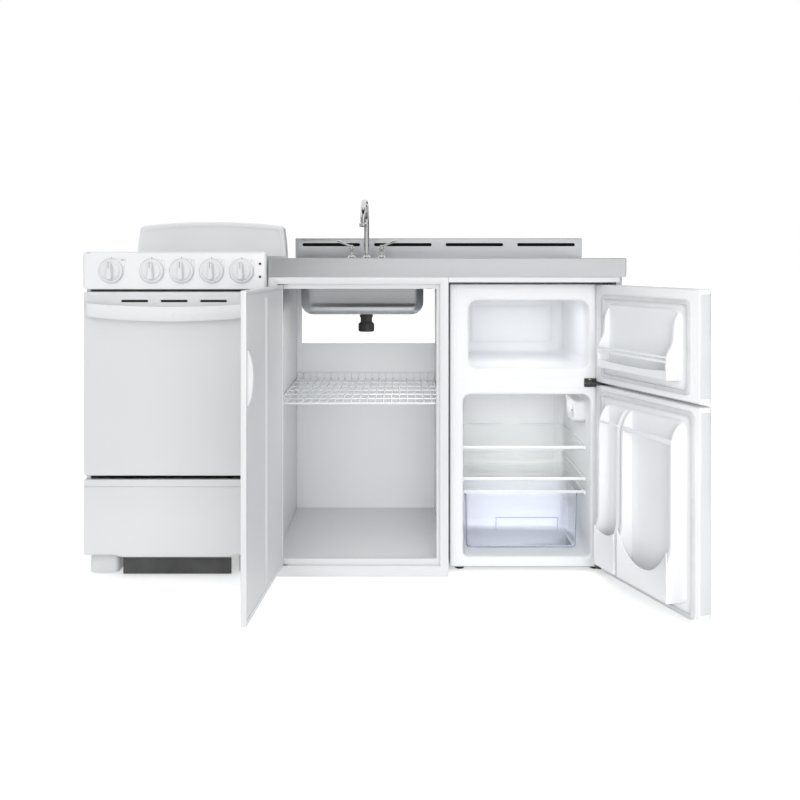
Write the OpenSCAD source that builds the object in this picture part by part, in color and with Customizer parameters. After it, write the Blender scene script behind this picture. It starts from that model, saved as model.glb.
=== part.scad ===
// All-in-one kitchenette: electric range, steel sink counter, sink cabinet and two-door refrigerator.
// X runs to the right, Y to the wall and Z up. The origin is on the floor, at mid width and mid depth.

/* [Unit] */
// Depth of the countertop, front to back
unit_depth = 610; // [590:1:640]
// Height of the countertop
counter_h = 914; // [905:1:925]
// Width of the countertop
counter_w = 1028; // [1020:1:1050]
// Gap between the range and the countertop
unit_gap = 2; // [1:0.5:4]
// Sheet metal thickness of painted panels
sheet = 1.6; // [1.2:0.1:2]
// Running clearance of pins in their bores
pin_play = 0.05; // [0.03:0.01:0.1]
// Clearance between bodies that move past each other
move_gap = 0.6; // [0.4:0.1:1]

/* [Range] */
// Width of the range
range_w = 522; // [510:1:530]
// How far the range doors stand in front of the countertop
range_reach = 25; // [20:1:30]
// Depth of the range casing
casing_depth = 530; // [510:1:540]
// Height of the range legs
leg_h = 62; // [56:1:70]
// Height of the casing side walls
casing_top_h = 912; // [905:1:915]
// Height of the control panel
panel_h = 107; // [100:1:115]
// Height of the panel's top edge above the floor
panel_top_h = 932; // [925:1:940]
// Depth of the control panel box
panel_depth = 34; // [30:1:40]
// Width of the oven cavity
oven_w = 406; // [380:1:420]
// Depth of the oven cavity
oven_depth = 400; // [360:1:410]
// Height of the oven cavity
oven_h = 410; // [380:1:420]
// Height of the oven floor above the unit's floor
oven_floor_h = 345; // [340:1:355]
// Height of the oven rack above the oven floor
rack_rise = 119; // [60:1:240]
// Side clearance of the oven rack
rack_side_gap = 4; // [3:0.5:6]
// Diameter of the oven rack's frame rods
rack_rod = 5; // [4:0.5:6]
// Number of the rack's front to back wires
rack_wires = 12; // [8:1:16]
// Thickness of the oven door without its plug
door_thick = 40; // [36:1:42]
// Height of the oven door's bottom edge
door_low = 295; // [292:1:300]
// Height of the oven door
door_h = 523; // [515:1:526]
// Radius of the oven door hinge pins
door_pin_r = 3; // [2.5:0.1:4]
// Length of the bowed door handle
handle_len = 498; // [470:1:505]
// Height of the handle grip
handle_tall = 38; // [30:1:42]
// Thickness of the handle grip
handle_thick = 16; // [12:1:20]
// Finger gap behind the handle
handle_gap = 26; // [22:1:34]
// How far the handle's middle hangs below its ends
handle_bow = 12; // [6:1:18]
// Height of the drawer front's top edge
drawer_top_h = 284; // [278:1:286]
// Depth of the drawer tub
drawer_depth = 420; // [380:1:440]
// Height of the backguard's ends above the cooktop
guard_h = 112; // [100:1:125]
// Rise of the backguard's arched top
guard_arch = 13; // [6:1:20]
// Thickness of the backguard
guard_thick = 46; // [36:1:50]

/* [Hob] */
// Radius of the large coil element
big_coil_r = 92; // [88:1:94]
// Radius of the small coil elements
small_coil_r = 72; // [70:1:76]
// Tube diameter of the coil elements
coil_tube = 7; // [6:0.5:7.5]
// Distance between turns of a coil
coil_pitch = 12; // [11:0.5:14]
// Sideways distance of the coils from the range's middle
coil_side = 122; // [118:1:126]
// Front to back distance between the coils
coil_row = 240; // [225:1:245]
// Height of the cooktop surface
cooktop_h = 916; // [912:1:918]
// Height of the space under the cooktop
burner_space = 86; // [80:1:90]
// Depth of the cooktop's folded edge
cooktop_edge = 14; // [10:1:16]

/* [Knobs] */
// Radius of a knob's skirt
knob_r = 34; // [30:0.5:36]
// Thickness of a knob's skirt
skirt_thick = 6; // [4:0.5:8]
// Length of a knob's grip bar
grip_len = 52; // [44:1:58]
// Width of a knob's grip bar
grip_wide = 13; // [10:0.5:16]
// Depth of a knob's grip bar
grip_deep = 20; // [16:1:24]
// Radius of the control stems
stem_r = 3; // [2.5:0.1:4]
// Push-in travel of the hob knobs
knob_push = 2.5; // [2:0.5:3]
// Distance from the panel's right end to the last hob knob
last_knob_in = 69.3; // [66:0.1:74]
// Distance from the panel's left end to the oven knob
oven_knob_in = 82.5; // [70:0.5:90]
// Distance from the oven knob to the first hob knob
first_knob_gap = 115.5; // [105:0.5:120]
// Height of the knobs above the floor
knob_h = 877; // [872:1:882]

/* [Sink] */
// Height of the countertop's front apron
apron_h = 55; // [50:1:58]
// Steel thickness of the countertop and bowl
steel = 1.5; // [1.2:0.1:2]
// Height of the backsplash
splash_h = 70; // [60:1:80]
// Thickness of the backsplash
splash_thick = 15; // [12:1:20]
// Distance from the countertop's ends to the backsplash
splash_in = 12; // [8:1:20]
// Length of a backsplash slot
slot_len = 200; // [150:1:220]
// Height of a backsplash slot
slot_tall = 10; // [6:0.5:12]
// Width of the sink bowl
bowl_w = 364; // [340:1:380]
// Front to back size of the sink bowl
bowl_depth = 300; // [280:1:310]
// Depth of the sink bowl
bowl_deep = 168; // [140:1:180]
// Radius of the bowl's corners
bowl_r = 38; // [30:1:45]
// How far the bowl's middle is right of the cabinet's middle
bowl_shift = 7; // [0:1:12]
// How far the drain is right of the bowl's middle
drain_shift = 8; // [0:1:12]
// Height of the drain nut
drain_nut_h = 28; // [20:1:32]
// Distance from the countertop's front to the bowl
bowl_front = 75; // [70:1:85]
// Radius of the drain tube
drain_r = 18; // [17:0.5:20]
// Bore radius of the drain tube
drain_bore_r = 16; // [15:0.5:16.5]
// Radius of the drain nut
drain_nut_r = 25; // [23:0.5:28]

/* [Faucet] */
// Distance from the faucet's middle to each handle
handle_side = 50.8; // [48:0.1:52]
// Distance from the bowl's rear edge to the faucet
faucet_back = 95; // [85:1:105]
// Radius of the spout tube
spout_r = 8.5; // [7:0.5:10]
// Bend radius of the gooseneck
neck_r = 65; // [55:1:75]
// Height of the gooseneck's top above the countertop
neck_h = 194; // [180:1:210]
// Radius of the supply shanks
shank_r = 10.2; // [9.5:0.1:10.5]
// Length of the supply shanks
shank_len = 60; // [52:1:66]
// Length of a faucet lever
lever_len = 50; // [40:1:58]

/* [Sink cabinet] */
// Width of the sink cabinet
cabinet_w = 518; // [514:1:520]
// Thickness of the cabinet panels
board = 18; // [16:1:19]
// Thickness of the face frame
frame_thick = 33; // [30:1:36]
// Width of the face frame's left stile
left_stile = 36; // [34:1:38]
// Width of the face frame's right stile
right_stile = 34; // [32:1:38]
// Height of the bottom rail
low_rail = 46; // [40:1:50]
// Height of the top rail
high_rail = 34; // [30:1:38]
// Overlap of the sink door on the frame
door_lap = 9; // [7:0.5:10]
// Thickness of the sink door
sink_door_thick = 14; // [12:1:15]
// Opening angle of the sink door at rest
sink_door_angle = 94; // [90:0.5:94]
// Radius of the sink door's hinge pins
sink_pin_r = 2.2; // [2:0.1:2.5]
// Height of the cabinet's back panel
back_panel_h = 580; // [500:5:640]
// Height of the wire shelf above the floor
shelf_h = 490; // [440:5:540]
// Diameter of the shelf's frame wire
shelf_wire = 6; // [5:0.5:7]
// Diameter of the shelf's cross wires
cross_wire = 3.2; // [3:0.2:4]
// Number of the shelf's front to back wires
cross_wires = 20; // [16:1:24]

/* [Refrigerator] */
// Gap between the sink cabinet and the refrigerator
fridge_gap = 6; // [5:0.5:10]
// Space from the refrigerator to the countertop's right end
fridge_end_gap = 46; // [44:1:54]
// Height of the refrigerator's top above the floor
fridge_top = 838; // [830:1:840]
// Height of the refrigerator's feet
fridge_feet = 12; // [10:1:16]
// Thickness of the insulated side walls
fridge_wall = 40; // [36:1:44]
// Thickness of the moulded liner
liner_thick = 2; // [1.5:0.1:2.5]
// Thickness of the refrigerator doors
fridge_door_thick = 43; // [40:1:45]
// Thickness of the door gaskets
gasket_thick = 6.4; // [6:0.1:7]
// Height of the fridge door's top edge
fridge_door_top = 547; // [540:1:550]
// Gap between the two doors
door_split = 8; // [8:0.5:10]
// Opening angle of the two doors at rest
fridge_door_angle = 111; // [100:1:114]
// Radius of the refrigerator's hinge pins
fridge_pin_r = 4; // [3.5:0.1:4.5]
// Reach of the moulded door racks into the cavity
rack_reach = 55; // [48:1:56]
// Height of the upper glass shelf
upper_shelf_h = 352; // [340:1:365]
// Height of the lower glass shelf
lower_shelf_h = 259; // [250:1:270]
// Height of the glass cover over the crisper
cover_h = 219; // [214:1:226]
// Height of the crisper's rim
crisper_rim_h = 210; // [200:1:212]
// Wall thickness of the crisper
crisper_wall = 2.5; // [2:0.1:3]
// Thickness of the shelf glass
glass = 4; // [3:0.5:5]

/* [Hidden] */
$fn = 96;
arc_fn = 1440;
bite = 1;
lid = 0.2;
white = "whitesmoke";
steel_grey = "silver";

// places shared by the whole unit
unit_w = range_w + unit_gap + counter_w;
range_x = -unit_w / 2;
range_end = range_x + range_w;
range_mid = range_x + range_w / 2;
counter_x = range_end + unit_gap;
counter_end = counter_x + counter_w;
front_y = -unit_depth / 2;
wall_y = unit_depth / 2;

// range
oven_gasket_gap = 7;
range_front = front_y - range_reach;
casing_y = range_front + door_thick + oven_gasket_gap + 2;
casing_back = casing_y + casing_depth;
door_x = range_x + 3.5;
door_end = range_end - 3.5;
door_top = door_low + door_h;
door_axis_y = range_front + 8;
door_axis_z = door_low + 8;
flange_thick = 2;
oven_x = range_mid - oven_w / 2;
oven_end = range_mid + oven_w / 2;
oven_top = oven_floor_h + oven_h;
oven_back = casing_y + oven_depth;
deck_h = 288;
burner_deck_h = cooktop_h - burner_space;
panel_low = panel_top_h - panel_h;
panel_back = range_front + panel_depth;
cooktop_front = panel_back + 4;
guard_y = casing_back - guard_thick;
cooktop_back = guard_y - 12;
lift_axis_y = cooktop_back - 9;
lift_axis_z = cooktop_h - 9;
knob_pitch = (range_w - oven_knob_in - first_knob_gap - last_knob_in) / 3;
knob_xs = [for (i = [0:4]) range_x + oven_knob_in
    + (i == 0 ? 0 : first_knob_gap + (i - 1) * knob_pitch)];
knob_face = range_front - knob_push - move_gap;
lamp_x = range_end - 17;
lamp_side = 18.5;
lamp_mid = knob_h + 2;
stem_end = range_front + 12;
coil_back_y = (cooktop_front + cooktop_back + coil_row) / 2;
coil_front_y = coil_back_y - coil_row;
coils = [
    [range_mid - coil_side, coil_front_y, big_coil_r],
    [range_mid + coil_side, coil_front_y, small_coil_r],
    [range_mid - coil_side, coil_back_y, small_coil_r],
    [range_mid + coil_side, coil_back_y, small_coil_r]
];
bowl_rim = 11;
hob_coil_h = cooktop_h + 6;
pivot_pin_len = 12;
runner_low = 140;
runner_h = 10;
runner_wide = 8;
runner_len = 380;
drawer_box_top = 230;
access_half = 80;
access_low = 640;
access_top = 760;
ledge_rises = [110, 230];
ledge_wide = 7;
element_r = 3.2;
element_hs = [oven_floor_h + 22, oven_top - 28];
element_side = 150;
terminal_half = 25;
foot_in = 42;
foot_front = casing_y + 34;
foot_rear = casing_back - 50;
door_slot_w = 76;
door_slot_pitch = 112;
slot_drop = 30;
slot_h = 7;
door_skin_back = casing_y - oven_gasket_gap - flange_thick;
handle_top = door_top - 29;

// sink
bowl_x = counter_x + cabinet_w / 2 + bowl_shift;
drain_x = bowl_x + drain_shift;
bowl_y = front_y + bowl_front;
bowl_end_y = bowl_y + bowl_depth;
bowl_mid_y = bowl_y + bowl_depth / 2;
bowl_low = counter_h - bowl_deep;
faucet_y = bowl_end_y + faucet_back;
drain_low = bowl_low - 54;
nut_low = drain_low - 6;
trap_seat = 30;
shank_low = counter_h - steel - shank_len;
shank_free = 34.5;
shank_nut_h = 15;
handle_xs = [bowl_x - handle_side, bowl_x + handle_side];
hub_h = counter_h + 28;
spout_seat = counter_h + 14;
lever_pin_r = 4;
spout_pin_r = 6;
spout_turn = 3;

// sink cabinet
cabinet_end = counter_x + cabinet_w;
cabinet_top = counter_h - apron_h;
frame_y = front_y + 2;
frame_back = frame_y + frame_thick;
cabinet_y_end = wall_y - 16;
open_x = counter_x + left_stile;
open_end = cabinet_end - right_stile;
open_low = low_rail;
open_top = cabinet_top - high_rail;
rebate_gap = 3;
sdoor_x = open_x - door_lap + rebate_gap;
sdoor_end = open_end + door_lap - rebate_gap;
sdoor_low = open_low - door_lap + rebate_gap - 7;
sdoor_top = open_top + door_lap - rebate_gap + 5;
spin_x = sdoor_x + 3.6;
spin_y = frame_y + 3.6;
pocket_h = 130;
pocket_z = 560;
pocket_w = 24;
pocket_x = sdoor_end - 40;

// refrigerator
fridge_x = cabinet_end + fridge_gap;
fridge_end = counter_end - fridge_end_gap;
fdoor_back = front_y + fridge_door_thick;
fridge_y = fdoor_back + gasket_thick + move_gap;
fridge_back = wall_y - 40;
cavity_x = fridge_x + fridge_wall;
cavity_end = fridge_end - fridge_wall - 8;
cavity_back = fridge_back - 75;
cavity_low = 42;
cavity_top = 514;
freezer_low = 592;
freezer_top = 790;
freezer_x = cavity_x + 16;
freezer_end = cavity_end - 4;
freezer_back = fridge_back - 85;
niche_y = fridge_back - 165;
niche_top = 165;
step_y = niche_y - 30;
step_top = niche_top + 35;
fdoor_x = fridge_x;
fdoor_end = fridge_end;
fdoor_low = 26;
zdoor_low = fridge_door_top + door_split;
zdoor_top = fridge_top;
fpin_x = fridge_end - 14;
fpin_y = fdoor_back - 18;
shelf_front = fdoor_back + rack_reach + 7;
shelf_back = cavity_back - 6;
crisper_x = cavity_x + 8;
crisper_end = fpin_x - 58;
crisper_low = cavity_low + 6;
crisper_back = step_y - 12;
liner_face = 3;
gasket_out = 16;
lamp_box_x = cavity_end - 32;
lamp_box_y = shelf_front + 20;
lamp_box_len = 150;
lamp_box_z = 419;
lamp_box_h = 66;
dial_y = lamp_box_y + 34;
dial_z = lamp_box_z + 36;

module block(a, b) {
    translate(a)
    cube(b - a);
}

// a plate in the XZ plane with rounded corners, from y0 to y1
module rounded_panel(x0, x1, z0, z1, y0, y1, r) {
    translate([0, y1, 0])
    rotate([90, 0, 0])
    linear_extrude(y1 - y0)
    rounded_outline(x0, x1, z0, z1, r);
}

module rounded_outline(x0, x1, y0, y1, r) {
    translate([x0 + r, y0])
    square([x1 - x0 - 2 * r, y1 - y0]);
    translate([x0, y0 + r])
    square([x1 - x0, y1 - y0 - 2 * r]);
    for (x = [x0 + r, x1 - r], y = [y0 + r, y1 - r])
        translate([x, y])
        circle(r);
}

// a box whose upright edges and bottom edges are round
module round_bottom_box(x0, x1, y0, y1, z0, z1, r) {
    translate([0, 0, z0 + r])
    linear_extrude(z1 - z0 - r)
    rounded_outline(x0, x1, y0, y1, r);
    block([x0 + r, y0 + r, z0], [x1 - r, y1 - r, z0 + r + bite]);
    for (x = [x0 + r, x1 - r], y = [y0 + r, y1 - r])
        translate([x, y, z0 + r])
        sphere(r);
    for (x = [x0 + r, x1 - r])
        along_y(x, z0 + r, y0 + r, y1 - r, r);
    for (y = [y0 + r, y1 - r])
        along_x(y, z0 + r, x0 + r, x1 - r, r);
}

module along_x(y, z, x0, x1, r) {
    translate([x0, y, z])
    rotate([0, 90, 0])
    cylinder(h = x1 - x0, r = r);
}

module along_y(x, z, y0, y1, r) {
    translate([x, y1, z])
    rotate([90, 0, 0])
    cylinder(h = y1 - y0, r = r);
}

module along_z(x, y, z0, z1, r) {
    translate([x, y, z0])
    cylinder(h = z1 - z0, r = r);
}

// an open pan: a sheet at the front, with four edges folded back
module front_pan(x0, x1, z0, z1, y0, y1, t) {
    difference() {
        block([x0, y0, z0], [x1, y1, z1]);
        block([x0 + t, y0 + t, z0 + t], [x1 - t, y1 + bite, z1 - t]);
    }
}

// a rod in the XY plane through the points, with round bends
function heading(a, b) = atan2(b[1] - a[1], b[0] - a[0]);
function turn(a, b, c) =
    let (t = heading(b, c) - heading(a, b))
    t > 180 ? t - 360 : t < -180 ? t + 360 : t;
function bend_run(p, i, r) =
    i <= 0 || i >= len(p) - 1 ? 0 : r * tan(abs(turn(p[i - 1], p[i], p[i + 1])) / 2);

module bent_rod(p, bend, d) {
    for (i = [0:len(p) - 2]) {
        way = heading(p[i], p[i + 1]);
        start = bend_run(p, i, bend);
        run = norm(p[i + 1] - p[i]) - start - bend_run(p, i + 1, bend);
        translate(concat(p[i], 0))
        rotate([0, 0, way])
        translate([start, 0, 0])
        rotate([0, 90, 0])
        cylinder(h = run, d = d);
    }
    for (i = [1:len(p) - 2]) {
        t = turn(p[i - 1], p[i], p[i + 1]);
        way = heading(p[i - 1], p[i]);
        side = t > 0 ? 1 : -1;
        translate(concat(p[i], 0))
        rotate([0, 0, way])
        translate([-bend_run(p, i, bend), side * bend, 0])
        rotate([0, 0, t > 0 ? -90 : 90 + t])
        rotate_extrude(angle = abs(t))
        translate([bend, 0])
        circle(d / 2);
    }
}

// RANGE

module range_casing() {
    color(white) {
        difference() {
            union() {
                for (x = [range_x, range_end - sheet])
                    block([x, casing_y, leg_h], [x + sheet, casing_back, casing_top_h]);
                for (x = [range_x, range_end - sheet])
                    block([x, door_axis_y - 6, door_axis_z - 10], [x + sheet, casing_y, door_axis_z + 14]);
                block([range_x + sheet - bite / 4, casing_back - sheet, leg_h],
                    [range_end - sheet + bite / 4, casing_back, casing_top_h]);
            }
            block([range_mid - access_half, casing_back - sheet - bite, access_low],
                [range_mid + access_half, casing_back + bite, access_top]);
        }
        for (z = [leg_h, deck_h, burner_deck_h])
            block([range_x + sheet - bite / 4, casing_y, z],
                [range_end - sheet + bite / 4, casing_back - sheet + bite / 4, z + sheet]);
        // drawer runners
        for (x = [range_x + sheet - bite / 4, range_end - sheet - runner_wide])
            block([x, casing_y, runner_low],
                [x + runner_wide + bite / 4, casing_y + runner_len, runner_low + runner_h]);
        // door and cooktop pivot pins
        for (side = [0, 1]) {
            pin_x = side == 0 ? range_x + bite : range_end - bite - pivot_pin_len;
            along_x(door_axis_y, door_axis_z, pin_x, pin_x + pivot_pin_len, door_pin_r);
            along_x(lift_axis_y, lift_axis_z, pin_x, pin_x + pivot_pin_len, door_pin_r);
        }
    }
}

module oven_liner() {
    t = sheet;
    color("lightslategray")
    difference() {
        union() {
            block([door_x + 3, casing_y - flange_thick, deck_h + 6],
                [door_end - 3, casing_y, door_top - 4]);
            block([oven_x - t, casing_y - t, oven_floor_h - t], [oven_end + t, oven_back + t, oven_top + t]);
        }
        difference() {
            block([oven_x, casing_y - 20, oven_floor_h], [oven_end, oven_back, oven_top]);
            // rack ledges
            for (x = [oven_x - bite, oven_end - ledge_wide], rise = ledge_rises) {
                z = oven_floor_h + rise;
                block([x, casing_y + 10, z], [x + ledge_wide + bite, oven_back - 10, z + 6]);
            }
        }
        for (z = element_hs, x = [-terminal_half, terminal_half])
            along_y(range_mid + x, z, oven_back - bite, oven_back + t + bite, element_r + 1);
    }
}

module oven_insulation() {
    color("khaki")
    difference() {
        block([range_x + 30, casing_y + 1, deck_h + 8], [range_end - 30, oven_back + 42, burner_deck_h - 4]);
        block([oven_x - sheet - lid, casing_y - bite, oven_floor_h - sheet - lid],
            [oven_end + sheet + lid, oven_back + sheet + lid, oven_top + sheet + lid]);
        for (z = element_hs, x = [-terminal_half, terminal_half])
            along_y(range_mid + x, z, oven_back, oven_back + 60, element_r + 2);
    }
}

// one heating loop: in through the back wall, round the oven and out again
module element_loop(z) {
    back_run = oven_back + 30;
    inner_back = oven_back - 40;
    inner_front = casing_y + 45;
    translate([range_mid, 0, z])
    bent_rod([
        [-terminal_half, back_run], [-terminal_half, inner_back], [-element_side, inner_back],
        [-element_side, inner_front], [element_side, inner_front],
        [element_side, inner_back], [terminal_half, inner_back], [terminal_half, back_run]
    ], 22, 2 * element_r);
}

module oven_elements() {
    color("dimgray")
    for (z = element_hs)
        element_loop(z);
}

module oven_rack() {
    z = oven_floor_h + rack_rise;
    x0 = oven_x + rack_side_gap;
    x1 = oven_end - rack_side_gap;
    y0 = casing_y + 16;
    y1 = oven_back - 14;
    rod = rack_rod / 2;
    color(steel_grey) {
        for (x = [x0, x1])
            along_y(x, z, y0, y1, rod);
        for (y = [y0 + rack_rod, (y0 + y1) / 2, y1 - rack_rod])
            along_x(y, z, x0, x1, rod - 0.3);
        for (i = [1:rack_wires])
            along_y(x0 + i * (x1 - x0) / (rack_wires + 1), z + rod + 0.5, y0 + 1, y1 - 1, rod - 1);
    }
}

module oven_door_skin() {
    color(white)
    difference() {
        front_pan(door_x, door_end, door_low, door_top, range_front, door_skin_back - 4, sheet);
        // air slots
        for (i = [-1:1]) {
            slot_mid = range_mid + i * door_slot_pitch;
            block([slot_mid - door_slot_w / 2, range_front - bite, door_top - slot_drop],
                [slot_mid + door_slot_w / 2, range_front + 5, door_top - slot_drop + slot_h]);
        }
        along_x(door_axis_y, door_axis_z, door_x - bite, door_end + bite, door_pin_r + pin_play);
    }
}

module oven_door_liner() {
    back = door_skin_back;
    color("gainsboro")
    difference() {
        union() {
            block([door_x, back - 4, door_low], [door_end, back, door_top]);
            block([oven_x + 16, back - bite, oven_floor_h + 14],
                [oven_end - 16, back + 20, oven_top - 14]);
        }
        block([oven_x + 18, back - 5, oven_floor_h + 16], [oven_end - 18, back + 18, oven_top - 16]);
    }
}

module oven_door_gasket() {
    y0 = door_skin_back;
    color("darkslategray")
    difference() {
        rounded_panel(oven_x - 22, oven_end + 22, oven_floor_h - 22, oven_top + 22,
            y0, casing_y - flange_thick - move_gap, 20);
        rounded_panel(oven_x - 10, oven_end + 10, oven_floor_h - 10, oven_top + 10,
            y0 - bite, casing_y, 12);
    }
}

handle_end_z = handle_top - handle_tall / 2;
handle_half = handle_len / 2;
bow_r = (pow(handle_half, 2) + pow(handle_bow, 2)) / (2 * handle_bow);
bow_angle = 2 * asin(handle_half / bow_r);

module oven_door_handle() {
    grip_y = range_front - handle_gap;
    color(white) {
        translate([range_mid, grip_y, handle_end_z - handle_bow + bow_r])
        rotate([90, 0, 0])
        rotate([0, 0, -90 - bow_angle / 2])
        rotate_extrude(angle = bow_angle, $fn = arc_fn)
        translate([bow_r - handle_tall / 2, 0])
        rounded_outline(0, handle_tall, 0, handle_thick, 6);
        for (x = [range_mid - handle_half, range_mid + handle_half - 20])
            block([x, grip_y - 6, handle_end_z - 14], [x + 20, range_front, handle_end_z + 14]);
    }
}

module storage_drawer() {
    x0 = range_x + 18;
    x1 = range_end - 18;
    color(white) {
        // hollow front, with a bevelled finger edge along its top
        difference() {
            side_outline(door_x, door_end, [
                [range_front, leg_h + 2], [range_front, drawer_top_h - 24],
                [range_front + 10, drawer_top_h - 6], [range_front + 10, drawer_top_h],
                [range_front + 24, drawer_top_h], [range_front + 24, leg_h + 2]
            ]);
            side_outline(door_x + sheet, door_end - sheet, [
                [range_front + sheet, leg_h + 4], [range_front + sheet, drawer_top_h - 26],
                [range_front + 12, drawer_top_h - 9], [range_front + 22, drawer_top_h - 9],
                [range_front + 22, drawer_box_top + bite], [range_front + 25, drawer_box_top + bite],
                [range_front + 25, leg_h + 9],
                [range_front + 22, leg_h + 9], [range_front + 22, leg_h + 4]
            ]);
        }
        // lower lip between the leg covers
        block([range_x + 106, range_front, leg_h - 8], [range_end - 106, range_front + 12, leg_h + 3]);
        difference() {
            block([x0, range_front + 23, leg_h + 10], [x1, casing_y + drawer_depth, drawer_box_top]);
            block([x0 + sheet, range_front + 25, leg_h + 10 + sheet],
                [x1 - sheet, casing_y + drawer_depth - sheet, drawer_box_top + bite]);
        }
        // side flanges that ride on the runners
        flange_wide = 14;
        flange_low = runner_low + runner_h + move_gap / 2;
        for (x = [x0 - flange_wide, x1 - bite / 4])
            block([x, casing_y + 4, flange_low],
                [x + flange_wide + bite / 4, casing_y + runner_len, flange_low + 2]);
    }
}

module range_legs() {
    foot_h = 10;
    cover_w = 84;
    cover_deep = 68;
    for (x = [range_x + foot_in, range_end - foot_in], y = [foot_front, foot_rear]) {
        color("dimgray") {
            along_z(x, y, 0, foot_h, 17);
            along_z(x, y, foot_h - bite, leg_h, 5);
        }
    }
    // covers round the two front legs
    for (x = [range_x + 4, range_end - 4 - cover_w])
        color(white)
        difference() {
            translate([0, 0, 4])
            linear_extrude(leg_h - 4)
            rounded_outline(x, x + cover_w, casing_y + 2, casing_y + 2 + cover_deep, 14);
            block([x + 4, casing_y + 6, 3], [x + cover_w - 4, casing_y + cover_deep - 2, leg_h - 3]);
            along_z(x < range_mid ? range_x + foot_in : range_end - foot_in, foot_front,
                leg_h - 10, leg_h + 1, 5.2);
        }
}

module cooktop() {
    x0 = range_x + sheet + move_gap;
    x1 = range_end - sheet - move_gap;
    color(white)
    difference() {
        union() {
            block([x0, cooktop_front, cooktop_h - cooktop_edge], [x1, cooktop_back, cooktop_h]);
            // raised spill rim
            for (x = [x0, x1 - 6])
                block([x, cooktop_front, cooktop_h - bite], [x + 6, cooktop_back, cooktop_h + 5]);
            block([x0, cooktop_front, cooktop_h - bite], [x1, cooktop_front + 6, cooktop_h + 5]);
        }
        block([x0 + sheet, cooktop_front + sheet, cooktop_h - cooktop_edge - bite],
            [x1 - sheet, cooktop_back - sheet, cooktop_h - sheet]);
        for (c = coils)
            along_z(c[0], c[1], cooktop_h - 20, cooktop_h + 1, c[2] + 4);
        along_x(lift_axis_y, lift_axis_z, x0 - bite, x1 + bite, door_pin_r + pin_play);
    }
}

module drip_bowls() {
    bowl_hole = 20;
    bowl_deep_z = -26;
    color("silver")
    for (c = coils)
        translate([c[0], c[1], cooktop_h])
        rotate_extrude()
        polygon([
            [bowl_hole, bowl_deep_z], [c[2] - 24, bowl_deep_z], [c[2] + 1, -2], [c[2] + 3, 0],
            [c[2] + bowl_rim, 0], [c[2] + bowl_rim, 2], [c[2] + 1, 2],
            [c[2] - 25, bowl_deep_z + 1.4], [bowl_hole, bowl_deep_z + 1.4]
        ]);
}

first_turn_r = 14;
half_pitch = coil_pitch / 2;

function coil_halves(r) = floor((r - coil_tube / 2 - first_turn_r - half_pitch) / half_pitch);
function half_r(i) = first_turn_r + i * half_pitch;
function half_x(i) = i % 2 == 0 ? 0 : half_pitch;

// the middle line of a coil, as points
steps_per_half = 24;
function coil_points(r) = [for (i = [0:coil_halves(r)], a = [0:180 / steps_per_half:179])
    let (way = i % 2 == 0 ? a : a + 180)
    [half_x(i) + half_r(i) * cos(way), half_r(i) * sin(way)]];

// least space between turns, over points that are over half a turn apart
apart = 1.5 * steps_per_half + 1;
function coil_gap(p) =
    min([for (i = [0:len(p) - apart - 1], j = [i + apart:len(p) - 1]) norm(p[i] - p[j])]) - coil_tube;

// a coil of half circles about two middles, so that each turn meets the next
module coil(r) {
    halves = coil_halves(r);
    for (i = [0:halves])
        translate([half_x(i), 0, 0])
        rotate([0, 0, i % 2 == 0 ? 0 : 180])
        rotate_extrude(angle = 180)
        translate([half_r(i), 0])
        circle(coil_tube / 2);
    end_x = halves % 2 == 0 ? -half_r(halves) : half_pitch + half_r(halves);
    // both ends turn down to the terminal block
    for (x = [first_turn_r, end_x])
        translate([x, 0, 0]) {
            sphere(coil_tube / 2);
            along_z(0, 0, -8, 0, coil_tube / 2);
        }
}

module coil_elements() {
    echo(least_coil_gap = min(coil_gap(coil_points(big_coil_r)), coil_gap(coil_points(small_coil_r))));
    color("dimgray")
    for (c = coils)
        translate([c[0], c[1], hob_coil_h]) {
            coil(c[2]);
            // three-armed support under the turns
            for (a = [90, 210, 330])
                rotate([0, 0, a])
                block([0, -1, -coil_tube / 2 - 5], [c[2] - 4, 1, -coil_tube / 2 + 0.4]);
        }
}

module backguard() {
    low = casing_top_h;
    top = low + guard_h + guard_arch;
    half = range_w / 2 - 6;
    arch_r = (pow(half, 2) + pow(guard_arch, 2)) / (2 * guard_arch);
    color(white)
    intersection() {
        difference() {
            rounded_panel(range_mid - half, range_mid + half, low, top, guard_y, casing_back, 26);
            // hollow and open below
            rounded_panel(range_mid - half + 4, range_mid + half - 4, low - 30, top - guard_arch - 4,
                guard_y + sheet, casing_back - sheet, 22);
        }
        along_y(range_mid, top - arch_r, guard_y - bite, casing_back + bite, arch_r, $fn = arc_fn);
    }
}

module control_panel() {
    t = sheet;
    color(white)
    difference() {
        rounded_panel(range_x, range_end, panel_low, panel_top_h, range_front, panel_back, 8);
        block([range_x + t, range_front + t, panel_low + t],
            [range_end - t, panel_back + bite, panel_top_h - t]);
        for (x = knob_xs)
            along_y(x, knob_h, range_front - bite, range_front + t + bite, stem_r + 2);
        for (s = [-1, 1])
            along_y(lamp_x, lamp_mid + s * lamp_side, range_front - bite, range_front + t + bite, 4.2);
    }
}

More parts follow.
